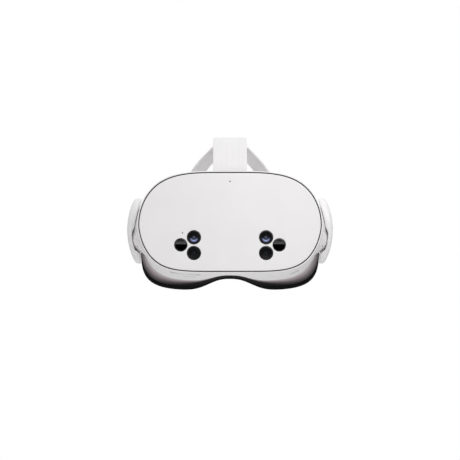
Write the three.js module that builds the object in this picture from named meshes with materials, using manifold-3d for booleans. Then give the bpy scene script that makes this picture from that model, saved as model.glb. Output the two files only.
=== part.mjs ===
// A stand-alone virtual-reality headset with its head strap, in millimetres. +X is the wearer's left, -Y is
// the way the wearer looks, and +Z is up. The origin is where the forehead meets the face cushion, on the
// middle plane, level with the two arm pivots.
import * as THREE from 'three';
import { mergeVertices } from 'three/addons/utils/BufferGeometryUtils.js';
import Module from 'manifold-3d';

const wasm = await Module();
wasm.setup();
const { clamp, euclideanModulo, radToDeg, smoothstep } = THREE.MathUtils;

// -------------------------------------------------------------------------------------- driving dimensions

const GAP = 0.4; // between neighbouring pieces
const AROUND = 36; // points round a large outline

// Outlines in X and Z. The upper half runs from `middle` to `top`, the lower half from `middle` to
// `bottom`, and each has the two powers of its superellipse. `rise` lifts the lower edge over the nose,
// within about `riseWidth`.
const PLATE_OUTLINE = {
  halfWidth: 83.1, top: 51.9, bottom: -37.2, middle: 4.6,
  topX: 4, topZ: 1.93, bottomX: 5.5, bottomZ: 1.6, rise: 0, riseWidth: 20,
};
const RIM_OUTLINE = grown(PLATE_OUTLINE, 1.9);
const WAIST_OUTLINE = {
  halfWidth: 85.6, top: 54.6, bottom: -42, middle: 3,
  topX: 4, topZ: 1.95, bottomX: 5.5, bottomZ: 1.7, rise: 0, riseWidth: 20,
};
const REAR_OUTLINE = {
  halfWidth: 84.7, top: 50, bottom: -47.6, middle: 1,
  topX: 4, topZ: 2, bottomX: 5.5, bottomZ: 1.95, rise: 5.3, riseWidth: 20,
};
const FACE_OUTLINE = {
  halfWidth: 84.9, top: 48, bottom: -57.4, middle: 0,
  topX: 4, topZ: 2.2, bottomX: 5.3, bottomZ: 5.3, rise: 10.8, riseWidth: 24.3,
};

const PLATE = { front: -78, bow: 12, crown: 1.5, thickness: 2.4 };
const HOUSING = {
  rear: -25, rearBow: 14, wall: 2.2, rimSetback: 1.2, rimInner: 1, ledge: 4.4, ledgeInner: -3,
};
const GASKET = { inner: -2.5, outer: 0.7, front: 2.9, rear: 4.1 };
const FACE = { front: -24.6, rear: -7, rearBow: 22, frameShare: 0.62, wall: 2.5, foam: 14 };

const PIVOT = { y: -36, z: -1, crest: 91.2, fall: 9, reach: 30, clearance: 0.8 };
const PIN = {
  radius: 3, play: 0.3, inner: 80, shoulder: 92.9, end: 93.6, headRadius: 4.6, chamfer: 0.8, hole: [70, 95],
};
// The housing swells fully into the dome within `inner` of the pivot, and not at all beyond `outer`. Both
// are larger by `above` over the upper half, which they reach across the height from -turn to turn.
const BULGE = { inner: 14, outer: 24, above: 7.5, turn: 9 };
// Ahead of the pivot and above it, the dome straightens into a cone. Angles are in degrees above straight
// ahead. The arm turns into the cone later than the housing, by more than it tilts, so that it never rides
// up on the dome.
const CONE = {
  fall: 9.9,
  arm: { rise: [-20, 30], end: [95, 125] },
  housing: { rise: [-45, 5], end: [-150, -110] },
};
// Low on the hub the arm's edge hooks inwards round the dome, to `x`.
const HOOK = { x: 83.5, radius: [18.5, 22.5], height: [-17, -10], depth: [-24, -18] };
const ARM = {
  outer: 95.5, rearOuter: 90, rearY: 66, shell: 1.3, coverScale: 0.885, pocketScale: 0.9, inner: 85.8,
  flare: 4, flareFrom: -22, flareTo: -34, crown: 7, nose: 5.5, noseLength: 26,
  coverThickness: 1, pocketDepth: 2,
  rings: [0.78, 0.65, 0.35], // scales of the side view at which the inner face is shaped
};
const GRILLE = { rows: [-4.5, 0, 4.5], front: 14, rear: 30, height: 1.8 };
const SPEAKER = { y: 22, z: 1, inner: 87.4, rim: 89, outer: 90.4, radius: 8.2, magnet: 5, dish: 6.5 };

const LENS = { spacing: 63, travel: 2.5, z: 2, radius: 24, barrelRadius: 26, rear: -16, front: -52 };
const BEZEL = {
  front: -31, rear: -28.8, play: 0.7, screwX: 70, screwZ: [26, -18], screwRadius: 1, screwHead: 2.2,
};
const CHASSIS = { half: 64.5, wall: 2.5, front: -56, rear: -33, low: -30.8, high: 35.5 };
const CHASSIS_WINDOW = { half: 58, low: -24, high: 28 };
const GEAR = { module: 0.8, teeth: 10, x: 0, z: -29, front: -47, rear: -43, play: 0.3, pressure: 25 };
const ROD = { radius: 1.5, y: -36, top: 32, bottom: -28, half: 64, play: 0.3 };
const LUG = { halfWidth: 9, halfDepth: 3.2, beyond: 3 };
const FAN = {
  z: -8, radius: 16, front: -73, rear: -66.6, blades: 11, hub: 7, axle: 1.4, bore: 1.8, outlet: 9,
};

// Plain blocks inside the housing, as x0, x1, y0, y1, z0, z1.
const DISPLAY = [-60, 60, -59.4, -56.4, -26, 30];
const MAIN_BOARD = [-62, 62, -64.4, -63, -27.4, 38];
const BATTERY = [-50, 50, -56, -33, 36.2, 45.6];
const HEAT_SINK = {
  half: 30, front: -72.6, base: -66.6, rear: -64.8, low: 15.5, high: 42, fins: 9, pitch: 7, fin: 1,
};
const CARRIER = {
  inner: 28, outer: 50, front: -67, rear: -65.4, low: -27, high: 0, cupRear: -66, bore: 4.6,
};
const CAMERA = { barrel: 2.6, glass: 2.2, body: 4.2, rear: -67.4 };

const SENSORS = [
  { name: 'upper', x: 32.9, z: -6.7, radius: 6.35 },
  { name: 'outer', x: 44.9, z: -13.6, radius: 5.95 },
  { name: 'lower', x: 32.9, z: -21.0, radius: 6.35 },
];
const STATUS_LED = { x: -43.3, z: -2.6, radius: 0.6 };
const MICROPHONE = { x: 0, z: 44.1, radius: 0.6 };

// Controls stand `proud` of the housing and reach `depth` into it. Side 1 is its top and -1 its underside.
const VOLUME = { side: -1, x: -41.3, y: -56, length: 27, width: 4.6, proud: 0.35, depth: 2.4 };
const ACTION = { side: -1, x: -37.6, y: -41, length: 10.5, width: 4.6, proud: 0.35, depth: 2.4 };
const POWER = { side: 1, x: 46, y: -42, length: 14, width: 5, proud: 0.5, depth: 2.6 };
const USB = { side: -1, x: 60, y: -40, length: 9.4, width: 3.7, depth: 7, wall: 0.4, tongue: 6.6 };

// The ellipsoid that the straps lie on.
const HEAD = { y: 92, halfWidth: 80, halfLength: 100, halfHeight: 91 };
const ANCHOR = {
  low: 52.3, high: 54.4, front: -25.4, rear: -12.4, halfWidth: 20.5,
  slotFront: -20.6, slotRear: -15, halfSlot: 16.7, tabInset: 6, tabLength: 4,
};
const TOP_STRAP = {
  width: 32, thickness: 2.2, underside: 49.9, tailWidth: 30, tailThickness: 1.6, tailGap: 0.5,
};
const TOP_STRAP_LINE = [
  [0, -14.6, 63], [0, -5, 72.5], [0, 10, 80.5], [0, 32, 86.2], [0, 60, 88.8], [0, 92, 89.6], [0, 122, 86.4],
];
const BAND = {
  width: 25, thickness: 2.2, start: [87.6, 57, 2.5], bend: [63, 166, -11], rear: [0, 193, -20],
};
const BAND_SLOT = { from: -0.02, to: 0.2, play: 0.9 }; // the room in each arm for the band's end
const BRANCH = { width: 18, lap: 1.4, lead: 10 };
const BRANCH_LINE = [
  [10.9, 134, 81.6], [17.5, 141.5, 75.6], [25.6, 149, 67.6],
  [33.6, 155.4, 57.6], [46, 159.5, 43], [57.5, 157, 29],
];
const GUSSET = [[-15, 122.7], [15, 122.7], [15.4, 127.8], [0, 139.6], [-15.4, 127.8]];
const SLIDER = { y: 148, length: 14, low: -16, high: 18, thickness: 6, play: 0.6, slot: 3.4 };
const SLIDER_WINDOW = { half: 3, above: 7, below: 9 };

// ----------------------------------------------------------------------------------------------- materials

const material = (color, roughness, metalness = 0) =>
  new THREE.MeshStandardMaterial({ color, roughness, metalness });
const WHITE_SHELL = material(0xebe9ea, 0.42);
const BLACK_PLASTIC = material(0x1b1b1d, 0.5);
const GREY_SHROUD = material(0x55504f, 0.55);
const FOAM = material(0x151516, 0.9);
const DARK_GLASS = material(0x08080a, 0.08);
const CLEAR_GLASS = material(0xcfd8e0, 0.05);
const STRAP_FABRIC = material(0xeceaeb, 0.85);
const STEEL = material(0xb8babd, 0.3, 1);
const ALUMINIUM = material(0xa5a8ab, 0.4, 1);
const CIRCUIT_BOARD = material(0x1d4030, 0.55);
const BATTERY_WRAP = material(0x2f3032, 0.5);
const ACETAL = material(0xd8d6cf, 0.5);

// ------------------------------------------------------------------------------------------- solid helpers

function solid(geometry) {
  const bare = geometry.clone();
  bare.deleteAttribute('normal');
  bare.deleteAttribute('uv');
  const merged = mergeVertices(bare, 1e-4);
  const vertProperties = merged.attributes.position.array;
  const triVerts = new Uint32Array(merged.index.array);
  const made = new wasm.Manifold(new wasm.Mesh({ numProp: 3, vertProperties, triVerts }));
  if (made.volume() >= 0) return made;
  return new wasm.Manifold(new wasm.Mesh({ numProp: 3, vertProperties, triVerts: triVerts.reverse() }));
}

function geometryOf(made) {
  const { numVert, numProp, vertProperties, triVerts } = made.getMesh();
  const positions = new Float32Array(numVert * 3);
  for (let i = 0; i < numVert; i++) {
    positions.set(vertProperties.subarray(i * numProp, i * numProp + 3), i * 3);
  }
  const indexed = new THREE.BufferGeometry();
  indexed.setAttribute('position', new THREE.BufferAttribute(positions, 3));
  indexed.setIndex(new THREE.BufferAttribute(triVerts, 1));
  const faceted = indexed.toNonIndexed();
  faceted.computeVertexNormals();
  return faceted;
}

function piece(name, shape, finish, parent) {
  const made = shape.isBufferGeometry ? solid(shape) : shape;
  const mesh = new THREE.Mesh(geometryOf(made), finish);
  mesh.name = name;
  parent.add(mesh);
  return mesh;
}

const joined = (...shapes) => shapes.reduce((whole, shape) => whole.add(shape));
const cut = (shape, ...tools) => tools.reduce((left, tool) => left.subtract(tool), shape);

function block(x0, x1, y0, y1, z0, z1) {
  const box = new THREE.BoxGeometry(x1 - x0, y1 - y0, z1 - z0);
  return solid(box.translate((x0 + x1) / 2, (y0 + y1) / 2, (z0 + z1) / 2));
}

function rodAlongY(radius, y0, y1, x, z, sides = 32) {
  const rod = new THREE.CylinderGeometry(radius, radius, y1 - y0, sides);
  return solid(rod.translate(x, (y0 + y1) / 2, z));
}

function rodAlongX(radius, x0, x1, y, z, sides = 24) {
  const rod = new THREE.CylinderGeometry(radius, radius, x1 - x0, sides).rotateZ(Math.PI / 2);
  return solid(rod.translate((x0 + x1) / 2, y, z));
}

// A turned solid. Each profile point is [radius, distance along the axis], and the axis is +Y.
function turned(profile, sides = 24) {
  return new THREE.LatheGeometry(profile.map(([r, along]) => new THREE.Vector2(r, along)), sides);
}

// A flat bar with round ends, lying along X, from z0 to z1.
function pill(length, width, z0, z1, x = 0, y = 0) {
  const radius = width / 2;
  const straight = length / 2 - radius;
  const shape = new THREE.Shape();
  shape.absarc(straight, 0, radius, -Math.PI / 2, Math.PI / 2);
  shape.absarc(-straight, 0, radius, Math.PI / 2, Math.PI * 1.5);
  const bar = new THREE.ExtrudeGeometry(shape, { depth: z1 - z0, bevelEnabled: false, curveSegments: 4 });
  return solid(bar.translate(x, y, z0));
}

// A skin through rings, closed by a cap at each end. A ring has at(angle), a point of its rim, and centre,
// where its cap meets.
function loft(rings, around = AROUND) {
  return skinned(new THREE.CylinderGeometry(1, 1, 1, around, rings.length - 1), rings);
}

// A skin through rings that goes out one way and comes back to the first ring, so the piece is open in the
// middle.
function hoop(rings) {
  const closed = [...rings, rings[0]];
  return skinned(new THREE.CylinderGeometry(1, 1, 1, AROUND, rings.length, true), closed);
}

function skinned(tube, rings) {
  const position = tube.getAttribute('position');
  const corner = new THREE.Vector3();
  for (let i = 0; i < position.count; i++) {
    corner.fromBufferAttribute(position, i);
    const ring = rings[Math.round((0.5 - corner.y) * (rings.length - 1))];
    const onRim = Math.hypot(corner.x, corner.z) > 0.5;
    const [x, y, z] = onRim ? ring.at(Math.atan2(corner.x, corner.z)) : ring.centre;
    position.setXYZ(i, x, y, z);
  }
  return solid(tube);
}

// ------------------------------------------------------------------------------------------------ outlines

function grown(outline, by) {
  return {
    ...outline,
    halfWidth: outline.halfWidth + by,
    top: outline.top + by,
    bottom: outline.bottom - by,
  };
}

function mixed(a, b, share) {
  return Object.fromEntries(Object.keys(a).map((key) => [key, a[key] + (b[key] - a[key]) * share]));
}

// The point [x, z] of an outline at an angle, by halving in on the radius where the superellipse reaches 1.
function outlinePoint(outline, angle) {
  const across = Math.cos(angle);
  const up = Math.sin(angle);
  const upper = up >= 0;
  const powerX = upper ? outline.topX : outline.bottomX;
  const powerZ = upper ? outline.topZ : outline.bottomZ;
  const height = upper ? outline.top - outline.middle : outline.middle - outline.bottom;
  let low = 0.5;
  let high = 1.6;
  for (let i = 0; i < 40; i++) {
    const radius = (low + high) / 2;
    const reach = (radius * Math.abs(across)) ** powerX + (radius * Math.abs(up)) ** powerZ;
    if (reach > 1) high = radius;
    else low = radius;
  }
  const x = outline.halfWidth * low * across;
  const lift = upper ? 0 : outline.rise * Math.exp(-(Math.abs(x / outline.riseWidth) ** 2.6));
  return [x, outline.middle + height * low * up + lift];
}

// A ring of that outline whose depth is yAt(x, z).
function ring(outline, yAt) {
  return {
    at(angle) {
      const [x, z] = outlinePoint(outline, angle);
      return [x, yAt(x, z), z];
    },
    centre: [0, yAt(0, outline.middle), outline.middle],
  };
}

const PLATE_MIDDLE = (PLATE_OUTLINE.top + PLATE_OUTLINE.bottom) / 2;
const PLATE_HALF_HEIGHT = (PLATE_OUTLINE.top - PLATE_OUTLINE.bottom) / 2;

// The depth of the curved front face.
function plateY(x, z) {
  const bow = PLATE.bow * (x / PLATE_OUTLINE.halfWidth) ** 2;
  return PLATE.front + bow + PLATE.crown * ((z - PLATE_MIDDLE) / PLATE_HALF_HEIGHT) ** 2;
}

const rimRing = (grow, back) => ring(grown(PLATE_OUTLINE, grow), (x, z) => plateY(x, z) + back);

// The housing's outline from the rim (share 0) to the rear edge (share 1) bends through the waist.
function housingOutline(share) {
  const front = mixed(RIM_OUTLINE, WAIST_OUTLINE, share);
  return mixed(front, mixed(WAIST_OUTLINE, REAR_OUTLINE, share), share);
}

function housingY(share, x, z) {
  const front = plateY(x, z) + HOUSING.rimSetback;
  const rear = HOUSING.rear + HOUSING.rearBow * (x / REAR_OUTLINE.halfWidth) ** 2;
  return front + (rear - front) * share;
}

const housingRing = (share, grow = 0) =>
  ring(grown(housingOutline(share), grow), (x, z) => housingY(share, x, z));

// How far from the middle plane the dome that an arm turns on reaches, at a distance from the pivot's axis.
function domeX(y, z, cone) {
  const share = Math.hypot(y - PIVOT.y, z - PIVOT.z) / PIVOT.reach;
  return PIVOT.crest - (1 - cone) * PIVOT.fall * share ** 2 - cone * CONE.fall * share;
}

const angleAhead = (y, z) => radToDeg(Math.atan2(z - PIVOT.z, PIVOT.y - y));

// How far the housing's dome and the arm's hollow have turned into the cone at a place.
function housingCone(y, z) {
  const angle = angleAhead(y, z);
  return 1 - (1 - smoothstep(angle, ...CONE.housing.rise)) * smoothstep(angle, ...CONE.housing.end);
}

function armCone(y, z) {
  const angle = angleAhead(y, z);
  return smoothstep(angle, ...CONE.arm.rise) * (1 - smoothstep(angle, ...CONE.arm.end));
}

// The housing's outside, which swells into that dome round each pivot.
function bulgedRing(share) {
  const plain = housingRing(share);
  const at = (angle) => {
    const [x, y, z] = plain.at(angle);
    const radius = Math.hypot(y - PIVOT.y, z - PIVOT.z);
    const wider = BULGE.above * smoothstep(z, -BULGE.turn, BULGE.turn);
    const swell = 1 - smoothstep(radius, BULGE.inner + wider, BULGE.outer + wider);
    const dome = domeX(y, z, housingCone(y, z));
    return [x + Math.sign(x) * swell * Math.max(0, dome - Math.abs(x)), y, z];
  };
  return { at, centre: plain.centre };
}

// The face interface's outline from the housing (share 0) to its widest (share 1).
function faceY(share, x) {
  const front = FACE.front + HOUSING.rearBow * (x / REAR_OUTLINE.halfWidth) ** 2;
  const rear = FACE.rear + FACE.rearBow * (x / FACE_OUTLINE.halfWidth) ** 2;
  return front + (rear - front) * share;
}

const faceRing = (share, grow = 0, back = 0, rise = 0) => {
  const outline = grown(mixed(grown(REAR_OUTLINE, -GAP), FACE_OUTLINE, share), grow);
  return ring({ ...outline, rise: outline.rise + rise }, (x) => faceY(share, x) + back);
};

// The housing's outer Z at a place on its underside (side -1) or its top (side 1), found by stepping its
// depth.
function housingZ(x, y, side) {
  let share = 0.5;
  let z = 0;
  for (let i = 0; i < 20; i++) {
    const outline = housingOutline(share);
    const u = Math.abs(x) / outline.halfWidth;
    const upper = side > 0;
    const height = upper ? outline.top - outline.middle : outline.middle - outline.bottom;
    const power = upper ? [outline.topX, outline.topZ] : [outline.bottomX, outline.bottomZ];
    z = outline.middle + side * height * (1 - u ** power[0]) ** (1 / power[1]);
    const front = housingY(0, x, z);
    share = (y - front) / (housingY(1, x, z) - front);
  }
  return z;
}

// --------------------------------------------------------------------------------------- housing and plate

function frontPlate() {
  const ringOf = (scale, back) => {
    const at = (angle) => {
      const [rimX, rimZ] = outlinePoint(PLATE_OUTLINE, angle);
      const x = rimX * scale;
      const z = PLATE_MIDDLE + (rimZ - PLATE_MIDDLE) * scale;
      return [x, plateY(x, z) + back, z];
    };
    return { at, centre: [0, plateY(0, PLATE_MIDDLE) + back, PLATE_MIDDLE] };
  };
  const back = PLATE.thickness;
  const sheet = loft([
    ringOf(0.36, 0), ringOf(0.7, 0), ringOf(0.97, 0), ringOf(1, 0.9), ringOf(1, back), ringOf(0.7, back),
    ringOf(0.36, back),
  ]);
  const holes = [-1, 1].flatMap((side) => SENSORS.map((sensor) => sensorDisc(sensor, side, 0.25, -5, 8)));
  const led = sensorDisc(STATUS_LED, 1, 0.25, -5, 8);
  const microphone = sensorDisc(MICROPHONE, 1, 0, -5, 8);
  return cut(sheet, ...holes, led, microphone);
}

// A disc standing square to the plate's curved face at a sensor, from `front` to `back` behind that face.
function sensorDisc(sensor, side, grow, front, back) {
  const x = sensor.x * side;
  const slopeX = (2 * PLATE.bow * x) / PLATE_OUTLINE.halfWidth ** 2;
  const slopeZ = (2 * PLATE.crown * (sensor.z - PLATE_MIDDLE)) / PLATE_HALF_HEIGHT ** 2;
  const radius = sensor.radius + grow;
  const disc = new THREE.CylinderGeometry(radius, radius, back - front, radius > 2 ? 18 : 8);
  disc.translate(0, (front + back) / 2, 0);
  disc.rotateZ(Math.atan(slopeX));
  disc.rotateX(-Math.atan(slopeZ));
  return solid(disc.translate(x, plateY(x, sensor.z), sensor.z));
}

function seamGasket() {
  const { inner, outer, front, rear } = GASKET;
  return hoop([rimRing(inner, front), rimRing(outer, front), rimRing(outer, rear), rimRing(inner, rear)]);
}

function alongX(geometry, side) {
  return solid(geometry.rotateZ((-Math.PI / 2) * side).translate(0, PIVOT.y, PIVOT.z));
}

function housing() {
  const { wall, rimSetback, rimInner, ledge, ledgeInner } = HOUSING;
  const outside = [0.04, 0.14, 0.3, 0.42, 0.55, 0.68, 0.82, 1].map(bulgedRing);
  const inside = [1, 0.55, 0.14].map((share) => housingRing(share, -wall));
  const shell = hoop([
    housingRing(0, -0.25), ...outside, ...inside,
    rimRing(ledgeInner, ledge + 1.2), rimRing(ledgeInner, ledge), rimRing(rimInner, ledge),
    rimRing(rimInner, rimSetback),
  ]);
  const pinHoles = [-1, 1].map((side) => pinHole(side, PIN.radius + PIN.play, ...PIN.hole));
  const slots = [VOLUME, ACTION, POWER, USB].map(({ x, y, side, length, width }) => {
    const z = housingZ(x, y, side);
    return pill(length + 2 * GAP, width + 2 * GAP, z - 6, z + 6, x, y);
  });
  return cut(shell, ...pinHoles, ...slots);
}

// The room inside the housing's wall, kept clear by a margin.
function interior(margin) {
  return loft([0.1, 0.4, 0.7, 0.85, 1.06].map((share) => housingRing(share, -HOUSING.wall - margin)));
}

function pinHole(side, radius, from, to) {
  const [x0, x1] = side > 0 ? [from, to] : [-to, -from];
  return rodAlongX(radius, x0, x1, PIVOT.y, PIVOT.z);
}

function pivotPin(side) {
  const { radius, inner, shoulder, end, headRadius, chamfer } = PIN;
  const edge = end - PIN.play;
  const head = [
    [0, shoulder], [headRadius, shoulder], [headRadius, edge], [headRadius - chamfer, end], [0, end],
  ];
  const shaft = [[0, inner], [radius, inner], [radius, edge], [0, edge]];
  return joined(alongX(turned(shaft, 16), side), alongX(turned(head, 16), side));
}

function strapAnchor() {
  const { low, high, front, rear, slotFront, slotRear, halfWidth, halfSlot } = ANCHOR;
  const loop = block(-halfWidth, halfWidth, front, rear, low, high);
  const halfTab = halfWidth - ANCHOR.tabInset;
  const tab = block(-halfTab, halfTab, front - ANCHOR.tabLength, front + 0.4, low - 2, high);
  const slot = block(-halfSlot, halfSlot, slotFront, slotRear, low - 2, high + 2);
  return cut(joined(loop, tab), slot, housingTop());
}

// Everything that the housing's wall takes up, with the gap that its neighbours keep.
function housingTop() {
  const shares = [0, 0.5, 1, 1.012];
  return loft(shares.map((share) => housingRing(share, GAP)));
}

// -------------------------------------------------------------------------------------------------- optics

function lensBezel() {
  const { front: y0, rear: y1 } = BEZEL;
  const flat = (outline, y) => ring(outline, () => y);
  const sheet = loft([flat(WAIST_OUTLINE, y0), flat(WAIST_OUTLINE, y1)]).intersect(interior(BEZEL.play));
  const slots = [-1, 1].flatMap((side) => {
    const near = LENS.spacing / 2 - LENS.travel;
    const far = LENS.spacing / 2 + LENS.travel;
    const radius = LENS.barrelRadius + BEZEL.play;
    const [x0, x1] = [near * side, far * side].sort((a, b) => a - b);
    return [
      rodAlongY(radius, y0 - 2, y1 + 2, near * side, LENS.z, 20),
      rodAlongY(radius, y0 - 2, y1 + 2, far * side, LENS.z, 20),
      block(x0, x1, y0 - 2, y1 + 2, LENS.z - radius, LENS.z + radius),
    ];
  });
  const screwHoles = bezelScrewPlaces().map(([x, z]) =>
    rodAlongY(BEZEL.screwRadius + 0.3, y0 - 2, y1 + 2, x, z, 12));
  return cut(sheet, ...slots, ...screwHoles);
}

const bezelScrewPlaces = () => [-1, 1].flatMap((side) => BEZEL.screwZ.map((z) => [BEZEL.screwX * side, z]));

function bezelScrew() {
  const { front, rear, screwRadius: shank, screwHead: wide } = BEZEL;
  const tip = front - 6;
  const seat = rear + GAP;
  const top = seat + 1.6;
  return turned([[0, tip], [shank, tip], [shank, seat], [wide, seat], [wide, top], [0, top]], 10);
}

function lensBarrel(side) {
  const { radius, barrelRadius, front, rear, z, spacing } = LENS;
  const x = (side * spacing) / 2;
  const inner = radius + GAP;
  const lip = radius - 1.2;
  const profile = [
    [inner, front], [barrelRadius, front], [barrelRadius, rear], [inner, rear],
    [inner, rear - 4.8], [lip, rear - 5.2], [lip, rear - 7], [inner, rear - 9], [inner, front],
  ];
  const tube = solid(turned(profile, 28).translate(x, 0, z));
  const lugs = [ROD.top, ROD.bottom].map((rodZ) => {
    const towards = rodZ > z ? 1 : -1;
    const [z0, z1] = [z + towards * (barrelRadius - 1), rodZ + towards * LUG.beyond].sort((a, b) => a - b);
    const { halfWidth, halfDepth } = LUG;
    return block(x - halfWidth, x + halfWidth, ROD.y - halfDepth, ROD.y + halfDepth, z0, z1);
  });
  const holes = [ROD.top, ROD.bottom].map((rodZ) =>
    rodAlongX(ROD.radius + ROD.play, x - 20, x + 20, ROD.y, rodZ, 16));
  const bore = rodAlongY(inner, ROD.y - 5, ROD.y + 5, x, z, 28);
  return joined(tube, cut(joined(...lugs), ...holes, bore));
}

function lens() {
  const { radius, rear } = LENS;
  return turned([[0, rear - 4.6], [radius, rear - 4.6], [radius, rear - 2.6], [radius * 0.6, rear - 1.2],
    [0, rear - 0.6]], 28);
}

function opticsChassis() {
  const { half, wall, front, rear, low, high } = CHASSIS;
  const opening = CHASSIS_WINDOW;
  const sheet = block(-half, half, front, front + 1.6, low, high);
  const window = block(-opening.half, opening.half, front - 4, front + 6, opening.low, opening.high);
  const walls = [-1, 1].map((side) => {
    const [x0, x1] = [half - wall, half].map((x) => x * side).sort((a, b) => a - b);
    return block(x0, x1, front, rear, low, high);
  });
  const holes = [ROD.top, ROD.bottom].map((z) => rodAlongX(ROD.radius + ROD.play, -70, 70, ROD.y, z, 16));
  return cut(joined(sheet, ...walls), window, ...holes).intersect(interior(BEZEL.play));
}

// The rack and pinion that keeps the two lenses the same distance from the nose.
function pinionOutline() {
  const { module, teeth, play, pressure } = GEAR;
  const pitch = (module * teeth) / 2;
  const tip = pitch + module * 0.8;
  const root = pitch - module * 1.15;
  const slope = Math.tan((pressure * Math.PI) / 180);
  const halfAt = (radius) => (Math.PI * module) / 4 - play / 2 - (radius - pitch) * slope * 0.9;
  const shape = new THREE.Shape();
  for (let tooth = 0; tooth < teeth; tooth++) {
    const middle = (tooth / teeth) * Math.PI * 2 + Math.PI / 2;
    const corners = [[root, -1], [pitch, -1], [tip, -1], [tip, 1], [pitch, 1], [root, 1]];
    for (const [radius, hand] of corners) {
      const angle = middle + (hand * Math.max(halfAt(radius), 0.12)) / radius;
      const place = [radius * Math.cos(angle), radius * Math.sin(angle)];
      if (tooth === 0 && radius === root && hand < 0) shape.moveTo(...place);
      else shape.lineTo(...place);
    }
  }
  shape.closePath();
  return shape;
}

function syncPinion() {
  const { front, rear } = GEAR;
  const wheel = new THREE.ExtrudeGeometry(pinionOutline(), { depth: rear - front, bevelEnabled: false });
  wheel.rotateX(Math.PI / 2);
  return wheel.translate(0, rear - front, 0);
}

// A rack whose teeth face the pinion: `hand` 1 lies above it with teeth down, -1 below it with teeth up.
function rack(hand) {
  const { module, play, pressure, front, rear } = GEAR;
  const pitch = (module * GEAR.teeth) / 2;
  const step = Math.PI * module;
  const slope = Math.tan((pressure * Math.PI) / 180);
  const half = step / 4 - play / 2;
  const tipAt = -module * 0.7;
  const rootAt = module;
  const back = 3.4;
  const reach = 5;
  const tail = 19.5;
  const shape = new THREE.Shape();
  shape.moveTo(-reach * step, back);
  shape.lineTo(-reach * step, rootAt);
  for (let tooth = 0.5 - reach; tooth < 3; tooth++) {
    const middle = tooth * step;
    shape.lineTo(middle - half - rootAt * slope, rootAt);
    shape.lineTo(middle - half - tipAt * slope, tipAt);
    shape.lineTo(middle + half + tipAt * slope, tipAt);
    shape.lineTo(middle + half + rootAt * slope, rootAt);
  }
  shape.lineTo(tail, rootAt);
  shape.lineTo(tail, back);
  shape.closePath();
  const bar = new THREE.ExtrudeGeometry(shape, { depth: rear - front, bevelEnabled: false });
  bar.rotateX(Math.PI / 2);
  bar.translate(0, rear - front, pitch);
  if (hand < 0) bar.rotateY(Math.PI);
  return bar;
}

// --------------------------------------------------------------------------------------------- electronics

function sensorCarrier(side) {
  const outer = SENSORS.find((sensor) => sensor.name === 'outer');
  const cups = SENSORS.map((sensor) => {
    const x = sensor.x * side;
    const front = plateY(x, sensor.z) + PLATE.thickness + 1.2;
    const cup = rodAlongY(sensor.radius - 0.2, front, CARRIER.cupRear, x, sensor.z, 14);
    const bore = rodAlongY(CARRIER.bore, front - 2, CARRIER.front, x, sensor.z, 12);
    return sensor === outer ? cup : cut(cup, bore);
  });
  const [x0, x1] = [CARRIER.inner * side, CARRIER.outer * side].sort((a, b) => a - b);
  return joined(block(x0, x1, CARRIER.front, CARRIER.rear, CARRIER.low, CARRIER.high), ...cups);
}

function cameraModule(sensor, side) {
  const x = sensor.x * side;
  const front = plateY(x, sensor.z) + PLATE.thickness + 0.6;
  const tip = front - PLATE.thickness + 1.5;
  const { glass, barrel, body, rear } = CAMERA;
  const shoulder = front + 1.6;
  const profile = [
    [0, tip + 0.5], [glass, tip], [barrel, tip + 0.4],
    [barrel, shoulder], [body, shoulder], [body, rear], [0, rear],
  ];
  return solid(turned(profile, 12).translate(x, 0, sensor.z));
}

function heatSink() {
  const { half, front, base, rear, low, high, fins, pitch, fin } = HEAT_SINK;
  const rows = Array.from({ length: fins }, (_, i) => {
    const x = (i - (fins - 1) / 2) * pitch;
    return block(x - fin / 2, x + fin / 2, front, base + 0.6, low + 0.5, high - 0.5);
  });
  return joined(block(-half, half, base, rear, low, high), ...rows);
}

function fanHousing() {
  const { z, radius, front, rear, outlet: half, axle: axleRadius } = FAN;
  const ringOuter = rodAlongY(radius + 2.2, front, rear, 0, z, 28);
  const bowl = rodAlongY(radius + 0.8, front - 1, rear - 1.2, 0, z, 28);
  const outlet = block(-half, half, front + 0.8, rear - 1.2, z + 8, z + 22);
  const axle = rodAlongY(axleRadius, front + 1.6, rear - 0.6, 0, z, 12);
  return joined(cut(ringOuter, bowl, outlet), axle);
}

function fanRotor() {
  const { radius, front, rear, blades } = FAN;
  const hub = rodAlongY(FAN.hub, front + 0.6, rear - 1.7, 0, 0, 24);
  const blade = () => block(5, radius, front + 1, rear - 1.8, -0.5, 0.5);
  const vanes = Array.from({ length: blades }, (_, i) => blade().rotate([0, (360 / blades) * i, 0]));
  const bore = rodAlongY(FAN.bore, front + 1.2, rear, 0, 0, 12);
  return cut(joined(hub, ...vanes), bore);
}

// ------------------------------------------------------------------------------------------------ controls

function control({ side, x, y, length, width, proud, depth }) {
  const z = housingZ(x, y, side);
  const [z0, z1] = [z + side * proud, z - side * depth].sort((a, b) => a - b);
  return pill(length, width, z0, z1, x, y);
}

function usbPort() {
  const { x, y, side, length, width, depth, wall, tongue } = USB;
  const z = housingZ(x, y, side);
  const shell = pill(length, width, z + wall, z + depth, x, y);
  const mouth = pill(length - 2 * wall, width - 2 * wall, z - 1, z + depth - 1, x, y);
  const blade = block(x - tongue / 2, x + tongue / 2, y - 0.35, y + 0.35, z + 1.4, z + depth - 0.5);
  return joined(cut(shell, mouth), blade);
}

// ------------------------------------------------------------------------------------------ face interface

function faceFrame() {
  const share = FACE.frameShare;
  const tongue = -HOUSING.wall - 0.5;
  const wall = -FACE.wall;
  return hoop([
    housingRing(0.945, tongue), faceRing(0, tongue + GAP),
    faceRing(0, 0), faceRing(0.2, 0), faceRing(0.42, 0),
    faceRing(share, 0), faceRing(share, wall), faceRing(0.42, wall), faceRing(0.1, tongue + wall),
    housingRing(0.945, tongue + wall),
  ]);
}

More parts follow.
